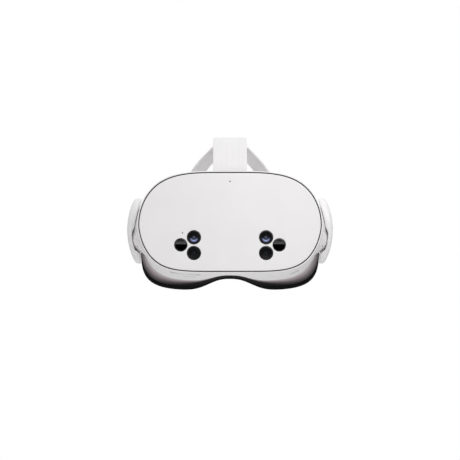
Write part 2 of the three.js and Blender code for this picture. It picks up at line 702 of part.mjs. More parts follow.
function faceCushion() {
  const start = FACE.frameShare + 0.02;
  const inner = -FACE.foam;
  return hoop([
    faceRing(start, 0.1), faceRing(0.8, 0.2), faceRing(1, 0),
    faceRing(1, -1.6, 3.6, 3), faceRing(1, -4.5, 6.2, 7), faceRing(1, -8, 7, 10),
    faceRing(1, inner, 5, 12), faceRing(1, inner, 0, 12), faceRing(start, inner + 3, 0, 2),
  ]);
}

// ---------------------------------------------------------------------------------------------------- arms

// The arm's side view, with Y across and Z up: a tall round hub that narrows to the strap end.
function armSide() {
  const shape = new THREE.Shape();
  shape.moveTo(-47, 0);
  shape.bezierCurveTo(-47, 17, -43, 29.8, -28, 29.8);
  shape.bezierCurveTo(-10, 29.8, -2, 20, 22, 18.3);
  shape.bezierCurveTo(38, 17.3, 50, 17.5, 60, 17.5);
  shape.bezierCurveTo(64, 17.5, ARM.rearY, 15, ARM.rearY, 11);
  shape.lineTo(ARM.rearY, -6);
  shape.bezierCurveTo(ARM.rearY, -10, 64, -12.5, 60, -12.5);
  shape.bezierCurveTo(38, -13, 14, -16, -4, -24);
  shape.bezierCurveTo(-12, -29, -20, -32.3, -29, -32.3);
  shape.bezierCurveTo(-43, -32.3, -47, -18, -47, 0);
  return shape;
}

const ARM_AROUND = 32;
const ARM_MIDDLE = { y: -2, z: 0 };
const armRim = armSide().getSpacedPoints(ARM_AROUND);

function armOuterX(y, z) {
  const along = clamp((y - PIVOT.y) / (ARM.rearY - PIVOT.y), 0, 1);
  const ahead = Math.max(0, PIVOT.y - y) / ARM.noseLength;
  const crown = ARM.crown * ((z - 2.5 * along) / PIVOT.reach) ** 2;
  return ARM.outer - (ARM.outer - ARM.rearOuter) * along ** 1.3 - ARM.nose * ahead ** 2 - crown;
}

// The inner face fits over the dome. Behind it, it keeps clear of the housing's side, and flares in towards
// the hub.
function armInnerX(y, z) {
  const dome = domeX(y, z, armCone(y, z)) + PIVOT.clearance;
  const flare = clamp((ARM.flareFrom - y) / (ARM.flareFrom - ARM.flareTo), 0, 1);
  const plain = Math.max(dome, ARM.inner - ARM.flare * flare);
  const radius = Math.hypot(y - PIVOT.y, z - PIVOT.z);
  const low = 1 - smoothstep(z, ...HOOK.height);
  const hook = smoothstep(radius, ...HOOK.radius) * low * (1 - smoothstep(y, ...HOOK.depth));
  return plain - hook * Math.max(0, plain - HOOK.x);
}

function armRing(scale, xAt) {
  const at = (angle) => {
    const turn = euclideanModulo(angle / (2 * Math.PI), 1);
    const rim = armRim[Math.round(turn * ARM_AROUND) % ARM_AROUND];
    const y = ARM_MIDDLE.y + (rim.x - ARM_MIDDLE.y) * scale;
    const z = ARM_MIDDLE.z + (rim.y - ARM_MIDDLE.z) * scale;
    return [xAt(y, z), y, z];
  };
  return { at, centre: [xAt(ARM_MIDDLE.y, ARM_MIDDLE.z), ARM_MIDDLE.y, ARM_MIDDLE.z] };
}

// A body of the arm's side view, with scales of it on the outer face and on the inner face.
function armBody(outerScales, innerScales, outerX, innerX) {
  const outer = outerScales.map(([scale, share]) =>
    armRing(scale, (y, z) => innerX(y, z) + (outerX(y, z) - innerX(y, z)) * share));
  const inner = innerScales.map((scale) => armRing(scale, innerX));
  return loft([...outer, ...inner], ARM_AROUND);
}

function armShell() {
  const body = armBody(
    [[0.35, 1], [0.65, 1], [0.86, 1], [0.96, 0.9], [1, 0.6], [1, 0.25]],
    [0.98, ARM.pocketScale, ...ARM.rings], armOuterX, armInnerX);
  const pocketTop = (y, z) => armOuterX(y, z) - ARM.shell;
  const pocketFloor = (y, z) => armInnerX(y, z) - ARM.pocketDepth;
  const scale = ARM.pocketScale;
  const pocket = armBody(
    [[0.35, 1], [0.65, 1], [scale, 0.97]], [scale, ...ARM.rings], pocketTop, pocketFloor);
  return cut(body, pocket, bandSlot());
}

const bandSlot = () =>
  ribbon(bandLine(BAND_SLOT.from, BAND_SLOT.to), BAND.width + 1, BAND.thickness + BAND_SLOT.play, 4);

function armCover() {
  const scale = ARM.coverScale;
  const outerX = (y, z) => armInnerX(y, z) + ARM.coverThickness;
  const cover = armBody([[0.35, 1], [0.65, 1], [scale, 1]], [scale, ...ARM.rings], outerX, armInnerX);
  const { rows, front, rear, height } = GRILLE;
  const grille = rows.map((z) => block(PIN.inner, ARM.outer, front, rear, z + 0.2, z + 0.2 + height));
  return cut(cover, pinHole(1, PIN.radius + GAP, PIN.inner, PIN.end + GAP), bandSlot(), ...grille);
}

function speaker() {
  const { y, z, inner, rim, outer, radius, magnet, dish } = SPEAKER;
  const profile = [
    [0, inner + 0.3], [dish, inner], [radius, inner], [radius, rim], [magnet, outer], [0, outer],
  ];
  return solid(turned(profile, 16).rotateZ(-Math.PI / 2).translate(0, y, z));
}

// -------------------------------------------------------------------------------------------------- straps

function headNormal(point) {
  return new THREE.Vector3(
    point.x / HEAD.halfWidth ** 2,
    (point.y - HEAD.y) / HEAD.halfLength ** 2,
    point.z / HEAD.halfHeight ** 2,
  ).normalize();
}

function headZ(x, y) {
  const share = 1 - (x / HEAD.halfWidth) ** 2 - ((y - HEAD.y) / HEAD.halfLength) ** 2;
  return HEAD.halfHeight * Math.sqrt(share);
}

// The directions of a strap at a share of its curve: along it, across its width, and out from the head.
function strapFrame(curve, share) {
  const centre = curve.getPointAt(share);
  const along = curve.getTangentAt(share);
  const across = new THREE.Vector3().crossVectors(along, headNormal(centre)).normalize();
  const out = new THREE.Vector3().crossVectors(across, along);
  return { centre, along, across, out };
}

// A flat strap along a curve, lying on the head.
function ribbon(curve, width, thickness, steps) {
  const strip = new THREE.BoxGeometry(1, width, thickness, steps, 1, 1);
  const position = strip.getAttribute('position');
  const corner = new THREE.Vector3();
  for (let i = 0; i < position.count; i++) {
    corner.fromBufferAttribute(position, i);
    const { centre, across, out } = strapFrame(curve, clamp(corner.x + 0.5, 0, 1));
    const place = centre.addScaledVector(across, corner.y).addScaledVector(out, corner.z);
    position.setXYZ(i, place.x, place.y, place.z);
  }
  return solid(strip);
}

const vector = (points) => new THREE.Vector3(...points);

// Part of the straight run of the band, on the wearer's left, from one share of it to another.
function bandLine(from, to) {
  const start = vector(BAND.start);
  const bend = vector(BAND.bend);
  return new THREE.LineCurve3(start.clone().lerp(bend, from), start.clone().lerp(bend, to));
}

function rearBand() {
  const mirror = ([x, y, z]) => [-x, y, z];
  const forward = vector(BAND.bend).sub(vector(BAND.start)).normalize();
  const corner = vector(BAND.bend).addScaledVector(forward, 22).toArray();
  const flank = [31, BAND.rear[1], BAND.rear[2]];
  const path = new THREE.CurvePath();
  path.add(new THREE.LineCurve3(vector(BAND.start), vector(BAND.bend)));
  path.add(new THREE.CubicBezierCurve3(vector(BAND.bend), vector(corner), vector(flank), vector(BAND.rear)));
  path.add(new THREE.CubicBezierCurve3(
    vector(BAND.rear), vector(mirror(flank)), vector(mirror(corner)), vector(mirror(BAND.bend))));
  path.add(new THREE.LineCurve3(vector(mirror(BAND.bend)), vector(mirror(BAND.start))));
  return ribbon(path, BAND.width, BAND.thickness, 40);
}

function topStrapCurve() {
  const inSlot = (ANCHOR.slotFront + ANCHOR.slotRear) / 2;
  const rising = [[0, inSlot, TOP_STRAP.underside], [0, inSlot, ANCHOR.high + 0.6]];
  return new THREE.CatmullRomCurve3([...rising, ...TOP_STRAP_LINE].map(vector));
}

// The top strap passes down through its anchor, turns up behind the anchor's rear bar, and its loose end
// lies under itself, held by hooks and loops.
function topStrap() {
  const { width, thickness, underside, tailWidth, tailThickness, tailGap } = TOP_STRAP;
  const curve = topStrapCurve();
  const front = curve.getPoint(0).y - thickness / 2;
  const behind = ANCHOR.rear + GAP;
  const turn = block(-width / 2, width / 2, front, behind + tailThickness, underside, underside + 2);
  const tailY = behind + tailThickness / 2;
  const tail = new THREE.CatmullRomCurve3([
    vector([0, tailY, underside]), vector([0, tailY, ANCHOR.high + 1]),
    ...[0.14, 0.2, 0.27, 0.34].map((share) => {
      const { centre, out } = strapFrame(curve, share);
      return centre.addScaledVector(out, -thickness - tailGap);
    }),
  ]);
  return joined(ribbon(curve, width, thickness, 28), turn, ribbon(tail, tailWidth, tailThickness, 12));
}

function slider() {
  const { length, low, high, thickness, play } = SLIDER;
  const { half, above, below } = SLIDER_WINDOW;
  const body = block(-length / 2, length / 2, low, high, -thickness / 2, thickness / 2);
  const halfBand = BAND.width / 2 + play;
  const slot = block(-length, length, -halfBand, halfBand, -SLIDER.slot / 2, SLIDER.slot / 2);
  return cut(body, slot, block(-half, half, low + above, high - below, 0, thickness));
}

// Where the slider sits on the band's straight run, with its own axes.
function sliderFrame() {
  const share = (SLIDER.y - BAND.start[1]) / (BAND.bend[1] - BAND.start[1]);
  return strapFrame(bandLine(0, 1), share);
}

function branchCurve() {
  const { centre, across } = sliderFrame();
  const up = across.z > 0 ? across : across.clone().negate();
  const end = centre.addScaledVector(up, SLIDER.high + BRANCH.lap);
  const last = end.clone().addScaledVector(up, BRANCH.lead).add(vector([-0.6, 0.6, 0]));
  return new THREE.CatmullRomCurve3([...BRANCH_LINE.map(vector), last, end]);
}

function crownGusset() {
  const shape = new THREE.Shape(GUSSET.map(([x, y]) => new THREE.Vector2(x, y)));
  const sheet = new THREE.ExtrudeGeometry(shape, { depth: 1, bevelEnabled: false });
  const position = sheet.getAttribute('position');
  for (let i = 0; i < position.count; i++) {
    const x = position.getX(i);
    const y = position.getY(i);
    const offset = (position.getZ(i) - 0.5) * TOP_STRAP.thickness;
    position.setZ(i, headZ(x, y) - 0.6 + offset);
  }
  return sheet;
}

// ------------------------------------------------------------------------------------------------ assembly

const headset = new THREE.Group();
const sides = [['left', 1], ['right', -1]];

piece('front_plate', frontPlate(), WHITE_SHELL, headset);
piece('seam_gasket', seamGasket(), BLACK_PLASTIC, headset);
piece('main_housing', housing(), WHITE_SHELL, headset);
piece('strap_anchor', strapAnchor(), WHITE_SHELL, headset);
piece('lens_bezel', lensBezel(), BLACK_PLASTIC, headset);
piece('optics_chassis', opticsChassis(), BLACK_PLASTIC, headset);
piece('display_panel', block(...DISPLAY), DARK_GLASS, headset);
piece('main_board', block(...MAIN_BOARD), CIRCUIT_BOARD, headset);
piece('heat_sink', heatSink(), ALUMINIUM, headset);
piece('fan_housing', fanHousing(), BLACK_PLASTIC, headset);
piece('battery', block(...BATTERY), BATTERY_WRAP, headset);
piece('status_led', sensorDisc(STATUS_LED, 1, 0, 0.3, 2), CLEAR_GLASS, headset);
piece('usb_port', usbPort(), STEEL, headset);
piece('top_strap', topStrap(), STRAP_FABRIC, headset);
piece('volume_rocker', control(VOLUME), WHITE_SHELL, headset);
piece('action_button', control(ACTION), WHITE_SHELL, headset);
piece('power_button', control(POWER), WHITE_SHELL, headset);

for (const [name, z] of [['upper_guide_rod', ROD.top], ['lower_guide_rod', ROD.bottom]]) {
  piece(name, rodAlongX(ROD.radius, -ROD.half, ROD.half, ROD.y, z, 16), STEEL, headset);
}
bezelScrewPlaces().forEach(([x, z], i) => {
  piece(`bezel_screw_${i + 1}`, bezelScrew(), STEEL, headset).position.set(x, 0, z);
});

piece('fan_rotor', fanRotor(), BLACK_PLASTIC, headset).position.set(0, 0, FAN.z);
const pinion = piece('sync_pinion', syncPinion(), ACETAL, headset);
pinion.position.set(GEAR.x, GEAR.front, GEAR.z);

for (const [label, side] of sides) {
  piece(`${label}_sensor_carrier`, sensorCarrier(side), BLACK_PLASTIC, headset);
  piece(`${label}_pivot_pin`, pivotPin(side), STEEL, headset);
  for (const sensor of SENSORS) {
    piece(`${label}_${sensor.name}_window`, sensorDisc(sensor, side, 0, 0.15, 1.5), DARK_GLASS, headset);
    if (sensor.name !== 'outer') {
      piece(`${label}_${sensor.name}_camera`, cameraModule(sensor, side), BLACK_PLASTIC, headset);
    }
  }
  piece(`${label}_lens_barrel`, lensBarrel(side), BLACK_PLASTIC, headset);
  piece(`${label}_lens`, lens(), CLEAR_GLASS, headset).position.set((side * LENS.spacing) / 2, 0, LENS.z);
  piece(`${label}_rack`, rack(side), ACETAL, headset).position.set(0, GEAR.front, GEAR.z);

  const arm = new THREE.Group();
  arm.scale.x = side;
  headset.add(arm);
  piece(`${label}_arm_shell`, armShell(), WHITE_SHELL, arm);
  piece(`${label}_arm_cover`, armCover(), WHITE_SHELL, arm);
  piece(`${label}_speaker`, speaker(), BLACK_PLASTIC, arm);
  piece(`${label}_branch_strap`, ribbon(branchCurve(), BRANCH.width, BAND.thickness, 22), STRAP_FABRIC, arm);

  const { centre, along, across, out } = sliderFrame();
  const buckle = piece(`${label}_strap_slider`, slider(), WHITE_SHELL, arm);
  const up = across.z > 0 ? across : across.negate();
  const facing = new THREE.Vector3().crossVectors(along, up).dot(out) > 0 ? along : along.negate();
  buckle.quaternion.setFromRotationMatrix(new THREE.Matrix4().makeBasis(facing, up, out));
  buckle.position.copy(centre);
}

piece('face_frame', faceFrame(), GREY_SHROUD, headset);
piece('face_cushion', faceCushion(), FOAM, headset);
piece('rear_band', rearBand(), STRAP_FABRIC, headset);
piece('crown_gusset', crownGusset(), STRAP_FABRIC, headset);

export default headset;
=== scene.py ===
import math

import bmesh
import bpy
import numpy as np
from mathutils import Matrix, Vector
from mathutils.geometry import delaunay_2d_cdt


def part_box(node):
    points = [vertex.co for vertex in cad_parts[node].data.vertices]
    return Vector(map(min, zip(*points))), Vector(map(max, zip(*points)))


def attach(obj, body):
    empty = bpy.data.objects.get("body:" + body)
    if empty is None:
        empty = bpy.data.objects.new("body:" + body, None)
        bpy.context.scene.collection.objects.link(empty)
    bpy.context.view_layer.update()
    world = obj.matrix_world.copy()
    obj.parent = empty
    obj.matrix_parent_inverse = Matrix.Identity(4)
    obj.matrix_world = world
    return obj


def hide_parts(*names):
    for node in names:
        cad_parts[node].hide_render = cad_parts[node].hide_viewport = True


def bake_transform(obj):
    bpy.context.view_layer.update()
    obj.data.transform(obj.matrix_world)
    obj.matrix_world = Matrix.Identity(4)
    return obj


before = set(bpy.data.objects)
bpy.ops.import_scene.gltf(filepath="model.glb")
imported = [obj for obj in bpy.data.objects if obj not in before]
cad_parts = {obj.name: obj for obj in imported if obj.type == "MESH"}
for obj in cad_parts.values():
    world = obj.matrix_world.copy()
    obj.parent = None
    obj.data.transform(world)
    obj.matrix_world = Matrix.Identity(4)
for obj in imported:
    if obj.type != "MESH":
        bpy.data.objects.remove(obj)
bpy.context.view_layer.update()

MM = 0.001
SIDES = (("left", 1), ("right", -1))

# ---------------------------------------- dimensions
# Millimetres, in the frame's own axes: +X is the wearer's left, the front plate faces -Y, and +Z is up.


def box_mm(node):
    low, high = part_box(node)
    return [c / MM for c in low], [c / MM for c in high]


AROUND = 288  # points round a large outline
SHARP = 38.0  # degrees: an edge that turns by more than this is drawn hard
MERGE = 2e-6  # metres: points closer than this become one
PLATE_LOW, PLATE_HIGH = box_mm("front_plate")
CUSHION_HIGH = box_mm("face_cushion")[1]


def superellipse(half_width, top, bottom, middle, top_z, bottom_z, bottom_x=5.5, rise=0, rise_width=20):
    """An outline with its own powers above and below its middle. Its underside rises at the nose."""
    return {"half_width": half_width, "top": top, "bottom": bottom, "middle": middle, "rise": rise,
            "rise_width": rise_width, "top_x": 4, "top_z": top_z, "bottom_x": bottom_x, "bottom_z": bottom_z}


PLATE_OUTLINE = superellipse(PLATE_HIGH[0], PLATE_HIGH[2], PLATE_LOW[2], 4.6, 1.93, 1.6)
WAIST_OUTLINE = superellipse(85.6, 54.6, -42, 3, 1.95, 1.7)
REAR_OUTLINE = superellipse(84.7, 50, -47.6, 1, 2, 1.95, rise=5.3)
FACE_OUTLINE = superellipse(CUSHION_HIGH[0], 48, -57.4, 0, 2.2, 5.3, 5.3, 10.8, 24.3)
PLATE_FRONT = PLATE_LOW[1]
PLATE_BOW = 12
PLATE_CROWN = 1.5
PLATE_THICKNESS = 2.4
HOUSING_REAR = -25
HOUSING_BOW = 14
HOUSING_WALL = 2.2
RIM_SETBACK = 1.2
FACE_FRONT = -24.6
FACE_REAR = -7
FACE_BOW = 22
FRAME_SHARE = 0.62
FOAM_WIDTH = 14

PIVOT_Y, PIVOT_Z = -36, -1
DOME_CREST, DOME_FALL, CONE_FALL, DOME_REACH = 91.2, 9, 9.9, 30
ROUND_BEHIND, ROUND_AHEAD = (-150, -110), (-45, 5)  # degrees at the pivot: the dome is round between
HOOK_X, HOOK_RADII, HOOK_TOP, HOOK_REAR = 83.5, (18.5, 22.5), (-17, -10), (-24, -18)
BULGE_INNER, BULGE_OUTER, BULGE_ABOVE, BULGE_TURN = 14, 24, 7.5, 9
ARM_CLEARANCE = 0.55
ARM_OUTER, ARM_REAR_OUTER = 95.5, 90
ARM_REAR = box_mm("left_arm_shell")[1][1]
ARM_CROWN, ARM_HALF_HEIGHT, ARM_LIFT, ARM_TAPER = 7, 30, 2.5, 1.3
HUB_FALL, HUB_REACH = 5.5, 26
ARM_INNER, FLARE, FLARE_START, FLARE_LENGTH = 85.8, 4, -22, 12
ARM_CONE_AHEAD, ARM_CONE_BEHIND = (-20, 30), (95, 125)  # degrees at the pivot: the arm's inside is a cone

SENSORS = (("upper", 32.9, -6.7, 6.35), ("outer", 44.9, -13.6, 5.95), ("lower", 32.9, -21.0, 6.35))
LED_X, LED_Z, LED_RADIUS = -43.3, -2.6, 0.6
MIC_X, MIC_Z, MIC_RADIUS = 0, 44.1, 0.6
SIDE_MIC_X, SIDE_MIC_Z = 85.6, -15.2
WINDOW_GAP, LED_GAP = 0.2, 0.12

HEAD_Y, HEAD_HALF = 92, (80, 100, 91)
BAND_START, BAND_BEND, BAND_REAR = (87.6, 57, 2.5), (63, 166, -11), (0, 193, -20)
BAND_EASE, BAND_FLANK = 22, 31  # how far the band's curve leans on its bend and on its back
BAND_WIDTH, BAND_THICKNESS = 25, 2.2
BRANCH_WIDTH = 18
TOP_WIDTH, TOP_THICKNESS = 32, 2.2


# ---------------------------------------- mesh tools


def grown(outline, by):
    return outline | {"half_width": outline["half_width"] + by, "top": outline["top"] + by,
                      "bottom": outline["bottom"] - by}


def mixed(a, b, share):
    return {key: a[key] + (b[key] - a[key]) * share for key in a}


def outline_points(outline, angles):
    """The x and z of an outline at these angles, by halving in on the radius that lies on it."""
    across, up = np.cos(angles), np.sin(angles)
    upper = up >= 0
    power_x = np.where(upper, outline["top_x"], outline["bottom_x"])
    power_z = np.where(upper, outline["top_z"], outline["bottom_z"])
    height = np.where(upper, outline["top"] - outline["middle"], outline["middle"] - outline["bottom"])
    low, high = np.full_like(angles, 0.5), np.full_like(angles, 1.6)
    for _ in range(40):
        radius = (low + high) / 2
        past = (radius * abs(across)) ** power_x + (radius * abs(up)) ** power_z > 1
        high = np.where(past, radius, high)
        low = np.where(past, low, radius)
    x = outline["half_width"] * low * across
    lift = outline["rise"] * np.exp(-abs(x / outline["rise_width"]) ** 2.6)
    return x, outline["middle"] + height * low * up + np.where(upper, 0, lift)


def turns(count=AROUND):
    return np.arange(count) * (2 * math.pi / count)


def ring(outline, y_of):
    x, z = outline_points(outline, turns())
    return np.column_stack([x, y_of(x, z), z])


def build(name, verts, faces, sharp=SHARP, measure=None):
    """A closed mesh in metres from points in millimetres, with its hard edges marked."""
    mesh = bpy.data.meshes.new(name)
    work = bmesh.new()
    layer = work.verts.layers.float_vector.new("measure") if measure is not None else None
    made = [work.verts.new(Vector(v) * MM) for v in np.asarray(verts, float).tolist()]
    if layer:
        for vertex, value in zip(made, measure):
            vertex[layer] = Vector(value)
    for face in faces:
        if len(set(face)) > 2:
            work.faces.new([made[i] for i in face])
    bmesh.ops.remove_doubles(work, verts=work.verts, dist=MERGE)
    bmesh.ops.recalc_face_normals(work, faces=work.faces)
    mark_sharp(work, sharp)
    work.to_mesh(mesh)
    work.free()
    piece = bpy.data.objects.new(name, mesh)
    bpy.context.collection.objects.link(piece)
    return piece


def mark_sharp(work, degrees):
    limit = math.radians(degrees)
    for face in work.faces:
        face.smooth = True
    for edge in work.edges:
        edge.smooth = len(edge.link_faces) != 2 or edge.calc_face_angle(0) < limit


def strips(count, rows, closed_rows=False):
    """Quads between rows of points that each close on themselves."""
    faces = []
    for row in range(rows if closed_rows else rows - 1):
        a, b = row * count, ((row + 1) % rows) * count
        for i in range(count):
            j = (i + 1) % count
            faces.append((a + i, a + j, b + j, b + i))
    return faces


def hoop(name, rings, measure=None):
    """A skin through rings that comes back to the first one, so the piece is open in the middle."""
    return build(name, np.vstack(rings), strips(len(rings[0]), len(rings), True), measure=measure)


def capped(name, rings, sharp=SHARP, measure=None):
    """A skin through rings, closed at both ends by a fan to the middle of the end ring."""
    count, rows = len(rings[0]), len(rings)
    verts = np.vstack(rings + [rings[0].mean(0), rings[-1].mean(0)])
    faces = strips(count, rows)
    last = (rows - 1) * count
    for i in range(count):
        j = (i + 1) % count
        faces += [(i, j, rows * count), (last + i, last + j, rows * count + 1)]
    return build(name, verts, faces, sharp, measure)


def lathe(name, profile, place, count=64):
    """A turned piece. Its profile is a list of (radius, depth), and place puts its circles on the part."""
    rings = [place(circle(0, 0, radius, count), depth) for radius, depth in profile]
    return hoop(name, rings[:-1]) if profile[0] == profile[-1] else capped(name, rings)


def inset(loop, by):
    """A closed 2-D loop moved to its left. Outer loops run anticlockwise and holes clockwise."""
    ahead = np.roll(loop, -1, 0) - loop
    behind = loop - np.roll(loop, 1, 0)
    normals = []
    for step in (ahead, behind):
        length = np.maximum(np.linalg.norm(step, axis=1, keepdims=True), 1e-9)
        normals.append(np.column_stack([-step[:, 1], step[:, 0]]) / length)
    total = normals[0] + normals[1]
    total /= np.maximum((total * normals[0]).sum(1, keepdims=True), 0.3)
    return loop + total * by


def inside(points, loop):
    """Which points lie inside a closed loop, by counting the edges that a ray crosses."""
    x, y = points[:, 0][:, None], points[:, 1][:, None]
    x0, y0 = loop[:, 0], loop[:, 1]
    x1, y1 = np.roll(x0, -1), np.roll(y0, -1)
    spans = (y0 > y) != (y1 > y)
    with np.errstate(divide="ignore", invalid="ignore"):
        crossing = x < (x1 - x0) * (y - y0) / (y1 - y0) + x0
    return (spans & crossing).sum(1) % 2 == 1


def fill_loops(outer, holes, spacing):
    """Triangles that fill a loop with holes, with a grid of extra points to follow a curved surface."""
    low, high = outer.min(0), outer.max(0)
    grid_x, grid_y = [np.arange(low[k] + spacing / 2, high[k], spacing) for k in (0, 1)]
    grid = np.array([(a, b) for a in grid_x for b in grid_y]).reshape(-1, 2)
    keep = inside(grid, inset(outer, spacing * 0.45)) if len(grid) else np.zeros(0, bool)
    for hole in holes:
        keep &= ~inside(grid, inset(hole, spacing * 0.45))
    loops = [outer] + list(holes)
    points, edges = [], []
    for loop in loops:
        start = len(points)
        points += [tuple(p) for p in loop]
        edges += [(start + i, start + (i + 1) % len(loop)) for i in range(len(loop))]
    points += [tuple(p) for p in grid[keep]]
    verts, _, faces, *_ = delaunay_2d_cdt([Vector(p) for p in points], edges, [], 0, 1e-7)
    flat = np.array([tuple(v) for v in verts])
    middles = np.array([flat[list(f)].mean(0) for f in faces])
    solid = inside(middles, outer)
    for hole in holes:
        solid &= ~inside(middles, hole)
    return flat, [tuple(f) for f, good in zip(faces, solid) if good]


def slab(name, outer, holes, place, thickness, bevel=0.5, spacing=4.0, segments=3):
    """A sheet with rounded edges. place(points, depth) puts 2-D points at a depth below its front face."""
    loops = [outer] + list(holes)
    inner = [inset(loop, bevel) for loop in loops]
    flat, triangles = fill_loops(inner[0], inner[1:], spacing)
    verts = [place(flat, 0.0), place(flat, thickness)]
    faces = list(triangles) + [tuple(i + len(flat) for i in f) for f in triangles]
    start = 2 * len(flat)
    quarter = [math.pi / 2 * k / segments for k in range(segments + 1)]
    profile = [(bevel * (1 - math.sin(a)), bevel * (1 - math.cos(a))) for a in quarter]
    profile += [(i, thickness - d) for i, d in reversed(profile)]
    for loop in loops:
        rows = [place(inset(loop, i), d) for i, d in profile]
        verts += rows
        faces += [tuple(i + start for i in f) for f in strips(len(loop), len(rows))]
        start += len(loop) * len(rows)
    return build(name, np.vstack(verts), faces)


def mirrored(points, side):
    return points * np.array((side, 1, 1))


X, Y, Z = np.eye(3)


def unit(vectors):
    return vectors / np.linalg.norm(vectors, axis=-1, keepdims=True)


def run_along(points):
    """How far along a line each of its points is."""
    return np.concatenate([[0], np.cumsum(np.linalg.norm(np.diff(points, axis=0), axis=1))])


def sampled(points, run, at):
    """The places on a line at these distances along it."""
    return np.column_stack([np.interp(at, run, column) for column in points.T])


def on_plane(origin, across, up, inward, side=1):
    """A placing function: 2-D points on a plane, at a depth below it."""

    def place(points, depth):
        flat = np.outer(points[:, 0], across) + np.outer(points[:, 1], up)
        return mirrored(np.array(origin) + flat + np.array(inward) * depth, side)

    return place


def circle(x, y, radius, count=48, clockwise=False):
    angle = turns(count) * (-1 if clockwise else 1)
    return np.column_stack([x + radius * np.cos(angle), y + radius * np.sin(angle)])


def rounded_box(width, height, corner, count=8, clockwise=False, centre=(0, 0)):
    """A rectangle with round corners, as a closed loop."""
    loop = []
    for k, (sx, sy) in enumerate([(1, 1), (-1, 1), (-1, -1), (1, -1)]):
        cx, cy = sx * (width / 2 - corner), sy * (height / 2 - corner)
        for i in range(count + 1):
            angle = math.pi / 2 * (k + i / count)
            loop.append((cx + corner * math.cos(angle), cy + corner * math.sin(angle)))
    loop = np.array(loop) + centre
    loop = loop[np.linalg.norm(loop - np.roll(loop, 1, 0), axis=1) > 1e-6]
    return loop[::-1] if clockwise else loop


def cut_away(piece, cutters):
    """Takes solid cutters out of a piece, and deletes them."""
    for cutter in cutters:
        change = piece.modifiers.new("cut", "BOOLEAN")
        change.operation = "DIFFERENCE"
        change.solver = "EXACT"
        change.object = cutter
        apply_modifiers(piece)
        bpy.data.objects.remove(cutter)
    work = bmesh.new()
    work.from_mesh(piece.data)
    mark_sharp(work, SHARP)
    work.to_mesh(piece.data)
    work.free()


def apply_modifiers(piece):
    bpy.context.view_layer.update()
    shaped = piece.evaluated_get(bpy.context.evaluated_depsgraph_get())
    mesh = bpy.data.meshes.new_from_object(shaped)
    piece.modifiers.clear()
    piece.data = mesh


# ---------------------------------------- materials


class Nodes:
    """Shorthand for building the node tree of a material or of the world."""

    def __init__(self, owner, coordinates):
        owner.use_nodes = True
        self.owner, self.tree = owner, owner.node_tree
        self.shader = self.tree.nodes.get("Principled BSDF")
        self.place = self.add("ShaderNodeTexCoord").outputs[coordinates]

    def fill(self, socket, value):
        """Sets a socket to a value, or links it to another node's output."""
        if isinstance(value, bpy.types.NodeSocket):
            self.tree.links.new(value, socket)
        else:
            socket.default_value = value

    def add(self, kind, inputs=None, **settings):
        node = self.tree.nodes.new(kind)
        for key, value in settings.items():
            setattr(node, key, value)
        for key, value in (inputs or {}).items():
            self.fill(node.inputs[key], value)
        return node

    def set(self, **values):
        for name, value in values.items():
            self.fill(self.shader.inputs[name.replace("_", " ")], value)

    def noise(self, scale, detail=3.0, where=None):
        inputs = {"Vector": where or self.place, "Scale": scale, "Detail": detail}
        return self.add("ShaderNodeTexNoise", inputs).outputs["Fac"]

    def measure(self):
        """The measure that a piece was built with."""
        return self.add("ShaderNodeAttribute", attribute_name="measure").outputs["Vector"]

    def ramp(self, value, stops):
        node = self.add("ShaderNodeValToRGB", {"Fac": value})
        while len(node.color_ramp.elements) < len(stops):
            node.color_ramp.elements.new(0.5)
        for element, (position, colour) in zip(node.color_ramp.elements, stops):
            element.position = position
            element.color = (*colour, 1)
        return node.outputs["Color"]

    def mix(self, share, a, b, kind="RGBA"):
        return self.add("ShaderNodeMix", {"Factor": share, "A": a, "B": b}, data_type=kind).outputs["Result"]

    def range(self, value, low, high, new_low, new_high):
        inputs = {"Value": value, "From Min": low, "From Max": high, "To Min": new_low, "To Max": new_high}
        return self.add("ShaderNodeMapRange", inputs).outputs["Result"]

    def math(self, operation, a, b=0.0):
        return self.add("ShaderNodeMath", {0: a, 1: b}, operation=operation).outputs[0]

    def product(self, first, *others):
        for other in others:
            first = self.math("MULTIPLY", first, other)
        return first

    def plus(self, a, b, share):
        """One value and a share of another."""
        return self.math("ADD", a, self.math("MULTIPLY", b, share))

    def ridges(self, value, pitch):
        return self.math("ABSOLUTE", self.math("SINE", self.math("MULTIPLY", value, math.pi / pitch)))

    def bump(self, height, distance):
        inputs = {"Height": height, "Distance": distance, "Strength": 1.0}
        return self.add("ShaderNodeBump", inputs).outputs["Normal"]

    def axis(self, index, where=None):
        return self.add("ShaderNodeSeparateXYZ", {"Vector": where or self.place}).outputs[index]


def material_nodes(name):
    return Nodes(bpy.data.materials.new(name), "Object")


# The shroud's colour, from the housing's edge (0) to where it has turned black (1): painted shade, a grey
# moulding darkened towards the cushion as if in shadow.
SHROUD_PAINTED_SHADE = [(0.0, (0.66, 0.62, 0.63)), (0.11, (0.50, 0.455, 0.465)), (0.23, (0.34, 0.295, 0.31)),
                (0.37, (0.19, 0.165, 0.172)), (0.52, (0.08, 0.071, 0.073)), (0.68, (0.03, 0.027, 0.028)),
                (0.80, (0.008, 0.008, 0.008)), (1.0, (0.005, 0.005, 0.005))]


def shade(colour, factor):
    return tuple(min(1.0, c * factor) for c in colour)


def moulded(name, colour, roughness, grain=0.00003, grain_scale=2600, mottle=0.02, coat=0.0):
    """Moulded plastic: a fine spark-eroded grain, faint flow marks in the colour, and uneven gloss."""
    n = material_nodes(name)
    flow = [(0.3, shade(colour, 1 - mottle)), (0.7, shade(colour, 1 + mottle))]
    height = n.plus(n.noise(grain_scale, 2), n.noise(grain_scale / 5, 2), 0.6)
    n.set(Base_Color=n.ramp(n.noise(38, 4), flow), Normal=n.bump(height, grain),
          Roughness=n.range(n.noise(160, 5), 0.3, 0.75, roughness - 0.05, roughness + 0.06))
    if coat:
        n.set(Coat_Weight=coat, Coat_Roughness=0.08)
    return n.owner


